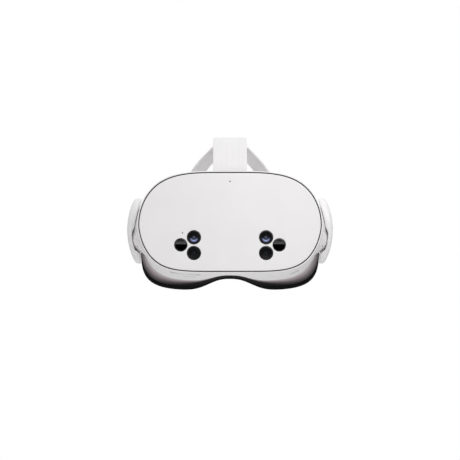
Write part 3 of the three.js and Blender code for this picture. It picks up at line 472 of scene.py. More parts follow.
def shroud_material():
    """The face interface's grey moulding with painted shade: its colour darkens from the housing's edge
    towards the cushion.
    """
    n = material_nodes("shroud_soft_touch_painted_shade")
    painted_shade_share = n.plus(n.axis(0, n.measure()), n.math("SUBTRACT", n.noise(60, 3), 0.5), 0.04)
    n.set(Base_Color=n.ramp(painted_shade_share, SHROUD_PAINTED_SHADE), Roughness=n.range(n.noise(420, 4), 0.3, 0.7, 0.55, 0.68),
          Normal=n.bump(n.noise(2400, 2), 0.00004), Specular_IOR_Level=0.03)
    return n.owner


def knit_material(name, colour, pitch=0.0011, depth=0.00022, sheen=0.25, gloss=0.4):
    """Close-knit cloth: rows of small loops with fibre fuzz, paler on the high places as a painted highlight
    and darker in the low places as painted shade.
    """
    n = material_nodes(name)
    x, y, z = (n.axis(i) for i in range(3))
    rows = n.ridges(n.plus(z, y, 0.7), pitch)
    loops = n.ridges(n.plus(n.plus(x, y, 0.7), rows, pitch * 0.5), pitch)
    height = n.plus(n.math("MULTIPLY", rows, loops), n.noise(5200, 3), 0.35)
    # Painted shade and highlight: darker in the low places between the loops, paler on the high places.
    knit_shade_tones = [(0.05, shade(colour, 0.55)), (0.75, colour), (1.0, shade(colour, 1.5))]
    n.set(Base_Color=n.ramp(height, knit_shade_tones), Normal=n.bump(height, depth), Roughness=0.86,
          Sheen_Weight=sheen, Sheen_Roughness=0.45, Specular_IOR_Level=gloss)
    return n.owner


RIB_PITCH, PICK_PITCH, PICK_STEP = 1.15, 0.9, 0.45  # the webbing's weave, in millimetres


def webbing_material(name, colour):
    """Woven elastic webbing, drawn by the strap's own measure, with painted shade in the weave's low places,
    and soiled towards its edges.
    """
    n = material_nodes(name)
    measure = n.measure()
    along, across = n.axis(0, measure), n.axis(1, measure)
    rib = n.math("FLOOR", n.math("DIVIDE", across, RIB_PITCH))
    picks = n.ridges(n.plus(along, rib, PICK_STEP), PICK_PITCH)
    weave = n.math("MULTIPLY", n.ridges(across, RIB_PITCH), n.plus(0.6, picks, 0.4))
    height = n.plus(weave, n.noise(4200, 3), 0.3)
    edge = n.range(n.math("ABSOLUTE", across), 0, TOP_WIDTH / 2, 0.0, 1.0)
    # Painted shade: the weave is darker in its low places.
    shaded_weave_tint = n.ramp(height, [(0.1, shade(colour, 0.86)), (0.6, colour), (1.0, shade(colour, 1.04))])
    soil = n.product(edge, 0.10, n.noise(45, 4))
    n.set(Base_Color=n.mix(soil, shaded_weave_tint, (*shade(colour, 0.5), 1)), Normal=n.bump(height, 0.0001),
          Roughness=0.88, Sheen_Weight=0.25, Sheen_Roughness=0.5, Subsurface_Weight=0.6,
          Subsurface_Radius=(1, 1, 1), Subsurface_Scale=0.003)
    return n.owner


def dark_glass(name, colour, roughness=0.04):
    """A polished window, dark but for infrared, with a little dust."""
    n = material_nodes(name)
    n.set(Roughness=n.range(n.noise(900, 6), 0.66, 0.84, roughness, roughness + 0.1),
          Base_Color=n.ramp(n.noise(120, 2), [(0.3, colour), (0.7, shade(colour, 1.5))]),
          Normal=n.bump(n.noise(90, 1), 0.00001), IOR=1.5, Coat_Weight=0.6, Coat_Roughness=0.02)
    return n.owner


# A tracking camera's painted reflections, in metres from its axis: a crescent, a spot in its middle and a
# halo.
CRESCENT_RADIUS, CRESCENT_HALF = 0.0031, 0.0011
SPOT_REACH, HALO_REACH = (0.0006, 0.0019), (0.0033, 0.0055)


def painted_reflection_lens(name, centre, crescent_reflection, core, rim):
    """A tracking camera's optics: a black bowl with painted reflections, a crescent low in it and a faint
    spot.
    """
    n = material_nodes(name)
    offset = n.add("ShaderNodeVectorMath", {0: n.place, 1: centre}, operation="SUBTRACT").outputs["Vector"]
    across, up = n.axis(0, offset), n.axis(2, offset)
    reach = n.math("SQRT", n.math("ADD", n.math("POWER", across, 2), n.math("POWER", up, 2)))
    from_crest = n.math("ABSOLUTE", n.math("SUBTRACT", reach, CRESCENT_RADIUS))
    crest = n.math("MAXIMUM", n.math("SUBTRACT", 1.0, n.math("DIVIDE", from_crest, CRESCENT_HALF)), 0.0)
    below = n.range(n.math("DIVIDE", up, n.math("ADD", reach, 0.0002)), -0.95, -0.1, 1.0, 0.0)
    halo = n.math("MULTIPLY", n.range(reach, *HALO_REACH, 1.0, 0.0), n.range(up, -0.004, 0.001, 1.0, 0.0))
    colour = n.mix(halo, (0.0012, 0.0013, 0.0016, 1), (*rim, 1))
    colour = n.mix(n.range(reach, *SPOT_REACH, 1.0, 0.0), colour, (*core, 1))
    n.set(Base_Color=n.mix(n.math("MULTIPLY", crest, below), colour, (*crescent_reflection, 1)),
          Roughness=n.range(n.noise(700, 3), 0.3, 0.7, 0.3, 0.42), Specular_IOR_Level=0.12)
    return n.owner


def clear_lens(name):
    """A viewing lens: clear plastic with dust on it and a violet coating."""
    n = material_nodes(name)
    n.set(Base_Color=n.ramp(n.noise(50, 2), [(0.3, (0.93, 0.94, 0.97)), (0.7, (0.96, 0.97, 1.0))]),
          Roughness=n.range(n.noise(600, 5), 0.6, 0.85, 0.03, 0.12), Transmission_Weight=0.92, IOR=1.49,
          Coat_Weight=0.4, Coat_Tint=(0.75, 0.7, 1.0, 1))
    return n.owner


def metal(name, colour, roughness, stretch=(1, 40, 1)):
    """Turned or drawn metal with fine lines."""
    n = material_nodes(name)
    stretched = n.add("ShaderNodeMapping", {"Vector": n.place, "Scale": stretch}).outputs["Vector"]
    streak = n.noise(300, 3, stretched)
    n.set(Base_Color=n.ramp(streak, [(0.25, shade(colour, 0.8)), (0.75, colour)]),
          Roughness=n.range(streak, 0.3, 0.7, roughness - 0.08, roughness + 0.1),
          Normal=n.bump(streak, 0.00001), Metallic=1.0)
    return n.owner


def board_material():
    """A circuit board: solder mask with copper tracks and pads showing through it."""
    n = material_nodes("circuit_board")
    cells = n.add("ShaderNodeTexVoronoi", {"Vector": n.place, "Scale": 260}, distance="MANHATTAN")
    bricks = n.add("ShaderNodeTexBrick", {"Vector": n.place, "Scale": 180}).outputs["Fac"]
    mask = n.math("MULTIPLY", n.math("GREATER_THAN", cells.outputs["Distance"], 0.33), bricks)
    n.set(Base_Color=n.ramp(mask, [(0.2, (0.012, 0.075, 0.035)), (0.8, (0.10, 0.16, 0.06))]),
          Normal=n.bump(mask, 0.00004), Roughness=0.38)
    return n.owner


# The whites are a little warm, as moulded polycarbonate is.
WHITE = (0.83, 0.815, 0.82)
MATERIALS = {
    "plate": moulded("plate_satin_white", (0.82, 0.805, 0.81), 0.46, 0.000012, 3200, 0.012),
    "housing": moulded("housing_white", WHITE, 0.42, 0.00002, 2600, 0.015),
    "arm": moulded("arm_white", (0.80, 0.79, 0.795), 0.36, 0.000015, 2600, 0.02, coat=0.15),
    "button": moulded("button_white", (0.78, 0.77, 0.775), 0.38, 0.00002, 3000, 0.02),
    "gasket": moulded("seam_rubber", (0.018, 0.017, 0.018), 0.7, 0.00005, 1500, 0.2),
    "black": moulded("black_plastic", (0.014, 0.014, 0.015), 0.52, 0.00006, 1900, 0.15),
    "black_gloss": moulded("black_gloss_ring", (0.006, 0.006, 0.007), 0.16, 0.000004, 1900, 0.2, coat=0.6),
    # Near-black: the speaker gauze and the microphone mesh, and painted shade for the control wells' floors
    # and the side microphone pinholes.
    "pit": moulded("black_pit", (0.003, 0.003, 0.003), 0.9, 0.00005, 1900, 0.2),
    "acetal": moulded("acetal", (0.62, 0.60, 0.56), 0.4, 0.00003, 2200, 0.03),
    "battery": moulded("battery_film", (0.045, 0.046, 0.05), 0.3, 0.00012, 420, 0.25, coat=0.4),
    "led": moulded("led_lens", (0.32, 0.31, 0.31), 0.25, 0.00001, 2600, 0.05, coat=0.5),
    "shroud": shroud_material(),
    "cushion": knit_material("cushion_knit", (0.009, 0.009, 0.0095), sheen=0.0, gloss=0.03),
    "piping": knit_material("cushion_piping", (0.006, 0.006, 0.006), 0.0008, 0.0001, 0.0, 0.03),
    "strap": webbing_material("strap_webbing", (0.80, 0.785, 0.79)),
    "thread": knit_material("sewing_thread", (0.70, 0.685, 0.69), 0.0005, 0.00008),
    "window": dark_glass("infrared_window", (0.0006, 0.0006, 0.0007)),
    "cover_glass": dark_glass("display_glass", (0.006, 0.006, 0.008), 0.08),
    "lens": clear_lens("viewing_lens"),
    "steel": metal("steel", (0.56, 0.57, 0.58), 0.32),
    "aluminium": metal("aluminium", (0.62, 0.63, 0.64), 0.42, (1, 1, 30)),
    "board": board_material(),
}


def finish(piece, material, body, slot, *nodes):
    """Gives a piece its material and its body, and hides the CAD nodes that it stands for. Its slot is not
    used.
    """
    piece.data.materials.clear()
    piece.data.materials.append(MATERIALS[material] if isinstance(material, str) else material)
    if nodes:
        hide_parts(*nodes)
    if body:
        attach(piece, body)
    return piece


# ---------------------------------------- camera, light and floor

CAMERA_Y = -2.078
CAMERA_LENS = 172.0
SENSOR_WIDTH = 36.0

WORLD_ABOVE, WORLD_BELOW = 1.16, 0.54
WORLD_LOW, WORLD_HIGH = -0.7, 0.5  # the light grows between these heights, as directions
WORLD_SIDE_FALL = 0.5
WALL_HALF, WALL_LOW, WALL_HIGH = 0.5, -0.26, 0.16  # the dark front wall, as directions
STRIP_LOW, STRIP_HIGH, STRIP_LIGHT = -0.05, 0.05, 1.4
KEY_PLACE, KEY_SIZE, KEY_WATTS = (0.36, -0.78, 0.5), 0.8, 4.0
FILL_PLACE, FILL_SIZE, FILL_WATTS = (-0.75, -0.7, -0.36), 0.6, 0.8
FLOOR_PLACE, FLOOR_RADIUS, FLOOR_FADE = (0, 0.05, -0.42), 0.7, 0.434


def make_camera():
    data = bpy.data.cameras.new("camera")
    data.lens = CAMERA_LENS
    data.sensor_width = SENSOR_WIDTH
    data.clip_end = 50
    camera = bpy.data.objects.new("camera", data)
    camera.location = (0, CAMERA_Y, 0)
    camera.rotation_euler = (math.pi / 2, 0, 0)
    bpy.context.collection.objects.link(camera)
    bpy.context.scene.camera = camera


def area_light(name, location, size, watts):
    """A square lamp that faces the headset."""
    data = bpy.data.lights.new(name, "AREA")
    data.shape = "RECTANGLE"
    data.size = data.size_y = size
    data.energy = watts
    lamp = bpy.data.objects.new(name, data)
    lamp.location = location
    lamp.rotation_euler = (-Vector(location)).to_track_quat("-Z", "Y").to_euler()
    lamp.visible_camera = False
    bpy.context.collection.objects.link(lamp)


def make_world():
    """White to look at. As light it is a soft studio: bright above, dimmer at the sides and below, and with
    a dark front wall with one strip window, which the glossy sensor windows mirror."""
    world = bpy.data.worlds.new("studio")
    bpy.context.scene.world = world
    n = Nodes(world, "Generated")
    x, y, z = (n.axis(i) for i in range(3))
    aside = n.math("ABSOLUTE", x)
    light = n.range(z, WORLD_LOW, WORLD_HIGH, WORLD_BELOW, WORLD_ABOVE)
    light = n.math("MULTIPLY", light, n.math("SUBTRACT", 1.0, n.math("MULTIPLY", aside, WORLD_SIDE_FALL)))
    strip = n.range(z, STRIP_LOW, STRIP_HIGH, STRIP_LIGHT, 0.0)
    strip = n.math("MULTIPLY", n.math("GREATER_THAN", z, STRIP_LOW), strip)
    wall = n.product(n.math("LESS_THAN", aside, WALL_HALF), n.math("LESS_THAN", y, 0.0),
                     n.math("GREATER_THAN", z, WALL_LOW), n.math("LESS_THAN", z, WALL_HIGH))
    seen = n.add("ShaderNodeLightPath").outputs["Is Camera Ray"]
    strength = n.mix(seen, n.mix(wall, light, strip, "FLOAT"), 1.0, "FLOAT")
    surround = n.tree.nodes["Background"]
    n.fill(surround.inputs["Color"], (1.0, 1.0, 1.0, 1))
    n.fill(surround.inputs["Strength"], strength)


def floor_material():
    """Pale paper that fades out towards the edge of the floor."""
    n = material_nodes("floor_paper")
    n.set(Base_Color=n.ramp(n.noise(38, 4), [(0.3, (0.856, 0.856, 0.856)), (0.7, (0.864, 0.864, 0.864))]),
          Normal=n.bump(n.noise(900, 2), 0.00005), Roughness=0.8)
    reach = n.add("ShaderNodeVectorMath", {0: n.place}, operation="LENGTH").outputs["Value"]
    clear = n.add("ShaderNodeBsdfTransparent").outputs["BSDF"]
    share = n.range(reach, FLOOR_FADE, FLOOR_RADIUS, 0.0, 1.0)
    mixed = n.add("ShaderNodeMixShader", {0: share, 1: n.shader.outputs["BSDF"], 2: clear}).outputs["Shader"]
    n.fill(n.tree.nodes["Material Output"].inputs["Surface"], mixed)
    return n.owner


def make_studio():
    """A soft white surround, a broad light above and to the right, and a pale floor below the headset."""
    make_world()
    area_light("key_light", KEY_PLACE, KEY_SIZE, KEY_WATTS)
    area_light("fill_light", FILL_PLACE, FILL_SIZE, FILL_WATTS)
    bpy.ops.mesh.primitive_circle_add(vertices=96, radius=FLOOR_RADIUS, fill_type="NGON",
                                      location=FLOOR_PLACE)
    floor = bpy.context.object
    floor.name = "floor"
    floor.data.materials.append(floor_material())
    bpy.context.scene.view_settings.view_transform = "Standard"


make_camera()
make_studio()

# ---------------------------------------- the curved front surface

PLATE_MIDDLE = (PLATE_OUTLINE["top"] + PLATE_OUTLINE["bottom"]) / 2
PLATE_HALF_HEIGHT = (PLATE_OUTLINE["top"] - PLATE_OUTLINE["bottom"]) / 2
RIM_OUTLINE = grown(PLATE_OUTLINE, 1.9)


def plate_y(x, z):
    bow = PLATE_BOW * (x / PLATE_OUTLINE["half_width"]) ** 2
    return PLATE_FRONT + bow + PLATE_CROWN * ((z - PLATE_MIDDLE) / PLATE_HALF_HEIGHT) ** 2


def rim_ring(grow, back):
    return ring(grown(PLATE_OUTLINE, grow), lambda x, z: plate_y(x, z) + back)


def on_plate(points, depth):
    return np.column_stack([points[:, 0], plate_y(points[:, 0], points[:, 1]) + depth, points[:, 1]])


def sensor_places():
    for label, side in SIDES:
        for name, x, z, radius in SENSORS:
            yield label, side, name, x * side, z, radius


def make_plate():
    """The front plate, with a hole for each window, the light and the microphone."""
    holes = [circle(x, z, radius + WINDOW_GAP, clockwise=True) for _, _, _, x, z, radius in sensor_places()]
    holes.append(circle(LED_X, LED_Z, LED_RADIUS + LED_GAP, 16, True))
    holes.append(circle(MIC_X, MIC_Z, MIC_RADIUS, 16, True))
    loop = np.column_stack(outline_points(PLATE_OUTLINE, turns()))
    piece = slab("visor_plate", loop, holes, on_plate, PLATE_THICKNESS, 0.28, 3.0, 4)
    finish(piece, "plate", "headset", "shell_white", "front_plate")


def make_gasket():
    """The dark seal in the seam between the plate and the housing."""
    profile = ((-2.5, 2.9), (0.4, 2.7), (0.7, 2.9), (0.85, 3.4), (0.7, 4.1), (-2.5, 4.1))
    piece = hoop("seam_seal", [rim_ring(*p) for p in profile])
    finish(piece, "gasket", "headset", "seam_black", "seam_gasket")


# ---------------------------------------- housing


def housing_outline(share):
    return mixed(mixed(RIM_OUTLINE, WAIST_OUTLINE, share), mixed(WAIST_OUTLINE, REAR_OUTLINE, share), share)


def housing_y(share, x, z):
    front = plate_y(x, z) + RIM_SETBACK
    rear = HOUSING_REAR + HOUSING_BOW * (x / REAR_OUTLINE["half_width"]) ** 2
    return front + (rear - front) * share


def housing_ring(share, grow=0.0):
    return ring(grown(housing_outline(share), grow), lambda x, z: housing_y(share, x, z))


def smoothstep(value, low, high):
    t = np.clip((value - low) / (high - low), 0, 1)
    return t * t * (3 - 2 * t)


def angle_ahead(y, z):
    """The angle at the arm's pivot, in degrees above straight ahead."""
    return np.degrees(np.arctan2(z - PIVOT_Z, PIVOT_Y - y))


def dome_x(y, z, cone):
    """The dome that an arm turns on. Where cone is 1 it has straightened into a cone."""
    share = np.hypot(y - PIVOT_Y, z - PIVOT_Z) / DOME_REACH
    return DOME_CREST - (1 - cone) * DOME_FALL * share ** 2 - cone * CONE_FALL * share


def bulged(points):
    """The housing's side swells into the dome that each arm turns on."""
    x, y, z = points.T
    radius = np.hypot(y - PIVOT_Y, z - PIVOT_Z)
    wider = BULGE_ABOVE * smoothstep(z, -BULGE_TURN, BULGE_TURN)
    swell = 1 - smoothstep(radius, BULGE_INNER + wider, BULGE_OUTER + wider)
    angle = angle_ahead(y, z)
    dome = dome_x(y, z, 1 - (1 - smoothstep(angle, *ROUND_AHEAD)) * smoothstep(angle, *ROUND_BEHIND))
    return np.column_stack([x + np.sign(x) * swell * np.maximum(0, dome - abs(x)), y, z])


def housing_z(x, y, side):
    """The height of the housing's outside at a place on its top (side 1) or underside (side -1)."""
    half = "top" if side > 0 else "bottom"
    share = 0.5
    for _ in range(20):
        outline = housing_outline(share)
        fall = 1 - (abs(x) / outline["half_width"]) ** outline[half + "_x"]
        z = outline["middle"] + (outline[half] - outline["middle"]) * fall ** (1 / outline[half + "_z"])
        front = housing_y(0, x, z)
        share = (y - front) / (housing_y(1, x, z) - front)
    return z


# Each control: node, x, y, length, width, side (1 for the top), how proud it stands, and its own depth.
CONTROLS = (
    ("volume_rocker", -41.3, -56, 27, 4.6, -1, 0.35, 2.4),
    ("action_button", -37.6, -41, 10.5, 4.6, -1, 0.35, 2.4),
    ("power_button", 46, -42, 14, 5, 1, 0.5, 2.6),
)
CONTROL_GAP = 0.5
CUT_ABOVE, CUT_DEPTH = 4, 8
USB_PLACE, USB_LENGTH, USB_WIDTH, USB_GAP = (60, -40, -1), 9.4, 3.7, 0.35


def at_control(x, y, side, raised):
    """A placing function on the housing's top or underside, for a piece raised off the shell."""
    here = Vector((x, y, housing_z(x, y, side)))
    along = (Vector((x + 1, y, housing_z(x + 1, y, side))) - here).normalized()
    back = (Vector((x, y + 1, housing_z(x, y + 1, side))) - here).normalized()
    out = along.cross(back).normalized() * side
    return on_plane(here + out * raised, along, out.cross(along), -out)


def make_housing():
    """The housing's skin, from its lip behind the plate, round the heel and back along its inside."""
    lip = [rim_ring(*p) for p in ((1.0, 4.4), (1.0, 1.6), (1.08, 1.32), (1.3, 1.2), (1.62, 1.22))]
    lip += [housing_ring(0.002, -0.06), housing_ring(0.008)]
    crease = [(0.02, 0), (0.032, -0.05), (0.037, -0.22), (0.041, -0.05)]
    side_wall = [(share, 0) for share in np.linspace(0.045, 0.93, 56)]
    heel = [(0.96, 0), (0.978, -0.06), (0.992, -0.35), (1.0, -0.9)]
    outer = [bulged(housing_ring(*p)) for p in crease + side_wall + heel]
    inner = [housing_ring(share, -HOUSING_WALL) for share in (1.0, 0.8, 0.55, 0.3, 0.14)]
    piece = hoop("housing_shell", lip + outer + inner + [rim_ring(-3, 5.6), rim_ring(-3, 4.4)])
    holes = [((x, y, side), length, width, CONTROL_GAP) for _, x, y, length, width, side, _, _ in CONTROLS]
    cutters = []
    for place, length, width, gap in holes + [(USB_PLACE, USB_LENGTH, USB_WIDTH, USB_GAP)]:
        loop = rounded_box(length + 2 * gap, width + 2 * gap, width / 2 + gap - 0.01)
        cutters.append(slab("cutter", loop, [], at_control(*place, CUT_ABOVE), CUT_DEPTH, 0.02, 9, 1))
    cut_away(piece, cutters)
    make_side_microphones(piece)
    finish(piece, "housing", "headset", "shell_white", "main_housing")


def make_side_microphones(shell):
    """A near-black disc on the front of each dome, painted shade for a pinhole, square to the shell where a
    line from the front meets it.
    """
    profile = [(0.01, -0.04), (0.5, -0.04), (0.62, 0.1), (0.62, 0.7), (0.01, 0.7)]
    for label, side in SIDES:
        start = Vector((side * SIDE_MIC_X, -200, SIDE_MIC_Z)) * MM
        _, point, normal, _ = shell.ray_cast(start, Vector((0, 1, 0)))
        across = Vector((0, 0, 1)).cross(normal).normalized()
        place = on_plane(np.array(point) / MM, across, across.cross(normal), -normal)
        hole = lathe(f"{label}_microphone_port_shade", profile, place, 20)
        finish(hole, "pit", "headset", "seam_black")


def make_controls():
    """Each control's cap, and the dark floor of the well that it moves in, a near-black sheet that paints the
    well's shade.
    """
    wider, below = 1.2, 0.6
    for node, x, y, length, width, side, proud, depth in CONTROLS:
        loop = rounded_box(length, width, width / 2 - 0.01, 12)
        cap = slab(f"{node}_cap", loop, [], at_control(x, y, side, proud), depth + proud, 0.5, 2.0, 4)
        finish(cap, "button", node, "button_white", node)
        # The well's floor is painted shade: a near-black sheet where the well lies in shadow.
        loop = rounded_box(length + wider, width + wider, (width + wider) / 2 - 0.05, 12)
        well = slab(f"{node}_well", loop, [], at_control(x, y, side, -depth - below), 0.5, 0.1, 4.0, 1)
        finish(well, "pit", "headset", "seam_black")


def make_usb():
    """The charging socket: its shell, the tongue in it and the floor behind."""
    sunk, wall, depth = 0.35, 0.4, 6.2
    outer = rounded_box(USB_LENGTH, USB_WIDTH, USB_WIDTH / 2 - 0.01, 10)
    mouth = rounded_box(USB_LENGTH - 2 * wall, USB_WIDTH - 2 * wall, USB_WIDTH / 2 - wall - 0.01, 10, True)
    shell = slab("usb_port_shell", outer, [mouth], at_control(*USB_PLACE, -sunk), depth, 0.12, 3.0, 2)
    finish(shell, "steel", "headset", "steel", "usb_port")
    blade = rounded_box(6.6, 0.7, 0.2, 3)
    tongue = slab("usb_port_tongue", blade, [], at_control(*USB_PLACE, -sunk - 1), 5, 0.08, 2.0, 1)
    finish(tongue, "black", "headset", "black_plastic")
    floor = slab("usb_port_floor", outer, [], at_control(*USB_PLACE, -sunk - depth), 0.6, 0.1, 3.0, 1)
    finish(floor, "pit", "headset", "black_plastic")


# ---------------------------------------- windows

# Each camera's painted reflections, as its crescent's, spot's and halo's colours, and how deep its bowl is.
PAINTED_REFLECTIONS = {
    "upper": ((0.36, 0.44, 0.74), (0.07, 0.08, 0.115), (0.014, 0.014, 0.05), 0.9),
    "lower": ((0.006, 0.007, 0.008), (0.012, 0.016, 0.021), (0.005, 0.005, 0.004), 0.7),
}


def at_sensor(x, z):
    """A placing function for a turned piece at a sensor: its depth runs inwards, square to the plate."""
    slope_x = 2 * PLATE_BOW * x / PLATE_OUTLINE["half_width"] ** 2
    slope_z = 2 * PLATE_CROWN * (z - PLATE_MIDDLE) / PLATE_HALF_HEIGHT ** 2
    inward = Vector((-slope_x, 1, -slope_z)).normalized()
    across = Vector((1, slope_x, 0)).normalized()
    return on_plane((x, plate_y(x, z), z), across, inward.cross(across), inward)


def make_camera_window(label, name, x, z, radius):
    """A tracking camera: a gloss ring flush with the plate, and a bowl with a small flat middle."""
    place = at_sensor(x, z)
    crescent_reflection, core, rim, depth = PAINTED_REFLECTIONS[name]
    inner, middle, top = radius * 0.86, 1.2, 0.5
    profile = [(inner, 0.32), (inner + 0.15, 0.16), (radius - 0.3, 0.12), (radius - 0.05, 0.28),
               (radius, 0.6), (radius, 1.9), (inner, 1.9), (inner, 0.32)]
    gloss_ring = lathe(f"{label}_{name}_ring", profile, place)
    finish(gloss_ring, "black_gloss", "headset", "window_glass", f"{label}_{name}_window")
    bowl = [(inner + 0.1, top)]
    bowl += [((inner - 0.1) * (1 - t) + middle * t, top + depth * math.sin(t * math.pi / 2))
             for t in np.linspace(0, 1, 9)]
    bowl += [(0.02, depth + top), (0.02, depth + 1.4), (inner + 0.1, depth + 1.4), (inner + 0.1, top)]
    # The bowl's material paints reflections on the lens: a crescent, a spot and a halo.
    centre = Vector(place(np.zeros((1, 2)), 0.6)[0]) * MM
    coating = painted_reflection_lens(f"{label}_{name}_coating", centre, crescent_reflection, core, rim)
    finish(lathe(f"{label}_{name}_bowl", bowl, place), coating, "headset", "window_glass")


def make_flat_window(label, x, z, radius):
    crown = 0.2
    profile = [(r, crown * (r / radius) ** 2 - 0.02) for r in np.linspace(0.01, radius - 0.3, 14)]
    profile += [(radius - 0.06, 0.34), (radius, 0.6), (radius, 1.6), (0.01, 1.6)]
    piece = lathe(f"{label}_outer_window_glass", profile, at_sensor(x, z), 96)
    finish(piece, "window", "headset", "window_glass", f"{label}_outer_window")


def make_windows():
    for label, _, name, x, z, radius in sensor_places():
        if name == "outer":
            make_flat_window(label, x, z, radius)
        else:
            make_camera_window(label, name, x, z, radius)
    led = [(0.01, 0.2), (0.35, 0.25), (LED_RADIUS, 0.5), (LED_RADIUS, 2.2), (0.01, 2.2)]
    light = lathe("status_light", led, at_sensor(LED_X, LED_Z), 20)
    finish(light, "led", "headset", "led_lens", "status_led")
    mic = [(0.01, 0.8), (MIC_RADIUS + 0.25, 0.8), (MIC_RADIUS + 0.25, 1.6), (0.01, 1.6)]
    mesh = lathe("front_microphone_mesh", mic, at_sensor(MIC_X, MIC_Z), 20)
    finish(mesh, "pit", "headset", "seam_black")


# ---------------------------------------- face interface


def face_y(share, x):
    front = FACE_FRONT + HOUSING_BOW * (x / REAR_OUTLINE["half_width"]) ** 2
    rear = FACE_REAR + FACE_BOW * (x / FACE_OUTLINE["half_width"]) ** 2
    return front + (rear - front) * share


def face_ring(share, grow=0.0, back=0.0, rise=0.0):
    outline = grown(mixed(grown(REAR_OUTLINE, -0.4), FACE_OUTLINE, share), grow)
    outline["rise"] += rise
    return ring(outline, lambda x, z: face_y(share, x) + back)


# How far back the shroud's painted shade turns its underside black, at the nose and at the cheeks, and how
# dark the painted shade on its top starts.
NOSE_REACH, CHEEK_REACH, NOSE_HALF, CHEEK_WIDTH, UPPER_PAINTED_SHADE = 0.2, 0.8, 22, 50, 0.4


def shroud_painted_shade(share, x, z):
    """How dark the shroud's painted shade is: it turns black sooner towards the nose, and the upper half
    starts darker.
    """
    low = float(smoothstep(-z, -6, 6))
    below = NOSE_REACH + (CHEEK_REACH - NOSE_REACH) * (abs(x) - NOSE_HALF) / CHEEK_WIDTH
    reach = CHEEK_REACH + low * (np.clip(below, NOSE_REACH, CHEEK_REACH) - CHEEK_REACH)
    return (UPPER_PAINTED_SHADE * (1 - low) + share / reach) / (CHEEK_REACH + UPPER_PAINTED_SHADE)


def make_face_frame():
    """The grey moulding between the housing and the cushion. Its measure is how dark its painted shade is."""
    tongue, wall = -HOUSING_WALL - 0.5, -2.5
    rows = [(0, housing_ring(0.945, tongue)), (0, face_ring(0, tongue + 0.4)), (0, face_ring(0, -0.35)),
            (0.012, face_ring(0.012, -0.05))]
    rows += [(share, face_ring(share)) for share in np.linspace(0.03, FRAME_SHARE - 0.02, 14)]
    rows += [(FRAME_SHARE, face_ring(FRAME_SHARE, -0.35)), (FRAME_SHARE, face_ring(FRAME_SHARE, wall)),
             (0.42, face_ring(0.42, wall)), (0.1, face_ring(0.1, tongue + wall)),
             (0.1, housing_ring(0.945, tongue + wall))]
    measure = [(shroud_painted_shade(share, x, z), 0, 0) for share, points in rows for x, _, z in points]
    piece = hoop("face_shroud", [points for _, points in rows], measure)
    finish(piece, "shroud", "face_interface", "shroud_grey", "face_frame")


PRESSURE, SWELL_LIMIT, SETTLE_FRAMES = 2.2, 1.2, 16


def pressure_fill(piece):
    """Fills a soft piece by cloth pressure, keeping every point within SWELL_LIMIT of where it began."""
    scene = bpy.context.scene
    start = np.array([v.co for v in piece.data.vertices])
    cloth = piece.modifiers.new("cloth", "CLOTH")
    cloth.settings.use_pressure = True
    cloth.settings.uniform_pressure_force = PRESSURE
    cloth.settings.effector_weights.gravity = 0
    cloth.settings.quality = 5
    cloth.settings.tension_stiffness = cloth.settings.compression_stiffness = 40
    cloth.settings.mass = 0.25
    cloth.collision_settings.use_self_collision = False
    for step in range(1, SETTLE_FRAMES + 1):
        scene.frame_set(step)
    shaped = piece.evaluated_get(bpy.context.evaluated_depsgraph_get())
    move = np.array([v.co for v in shaped.data.vertices]) - start
    piece.modifiers.clear()
    scene.frame_set(1)
    length = np.linalg.norm(move, axis=1, keepdims=True)
    end = start + move * np.minimum(1, SWELL_LIMIT * MM / np.maximum(length, 1e-9))
    piece.data.vertices.foreach_set("co", end.ravel().astype(np.float32))
    smooth = piece.modifiers.new("smooth", "CORRECTIVE_SMOOTH")
    smooth.iterations = 3
    smooth.use_only_smooth = True
    divide = piece.modifiers.new("divide", "SUBSURF")
    divide.levels = divide.render_levels = 1
    apply_modifiers(piece)
    for polygon in piece.data.polygons:
        polygon.use_smooth = True


def make_cushion():
    """The face cushion: a crowned ring of foam in knit cloth, with piping along its seam."""
    start = FRAME_SHARE + 0.03
    inner = -FOAM_WIDTH
    proud = 0.45  # the sewn shape stands this far outside the pad, to meet it once it has settled
    rows = (
        (start, proud), (0.8, 0.5 * proud), (0.93, 0.8 * proud), (1, proud), (1, proud - 1.6, 3, 3),
        (1, proud - 4.5, 5.2, 7), (1, proud / 2 - 8, 6, 10), (1, inner + 2.2, 5.2, 12),
        (1, inner - proud, 3, 12), (1, inner - proud, 0, 12), (0.85, inner + 1.5 - proud, 0, 6),
        (start, inner + 3, 0, 2),
    )
    piece = hoop("cushion_pad", [face_ring(*row) for row in rows])
    pressure_fill(piece)
    finish(piece, "cushion", "face_interface", "foam_black", "face_cushion")
    piping = [face_ring(FRAME_SHARE + 0.028, *point) for point in circle(-0.45, 0, 0.75, 10)]
    finish(hoop("cushion_seam_piping", piping), "piping", "face_interface", "foam_black")


# ---------------------------------------- arms


def bezier(points, count):
    t = np.linspace(0, 1, count, endpoint=False)[:, None]
    a, b, c, d = (np.array(p, float) for p in points)
    return (1 - t) ** 3 * a + 3 * (1 - t) ** 2 * t * b + 3 * (1 - t) * t ** 2 * c + t ** 3 * d


def even_loop(points, count):
    """Points at even spacing round a closed line."""
    closed = np.vstack([points, points[:1]])
    run = run_along(closed)
    return sampled(closed, run, np.linspace(0, run[-1], count, endpoint=False))


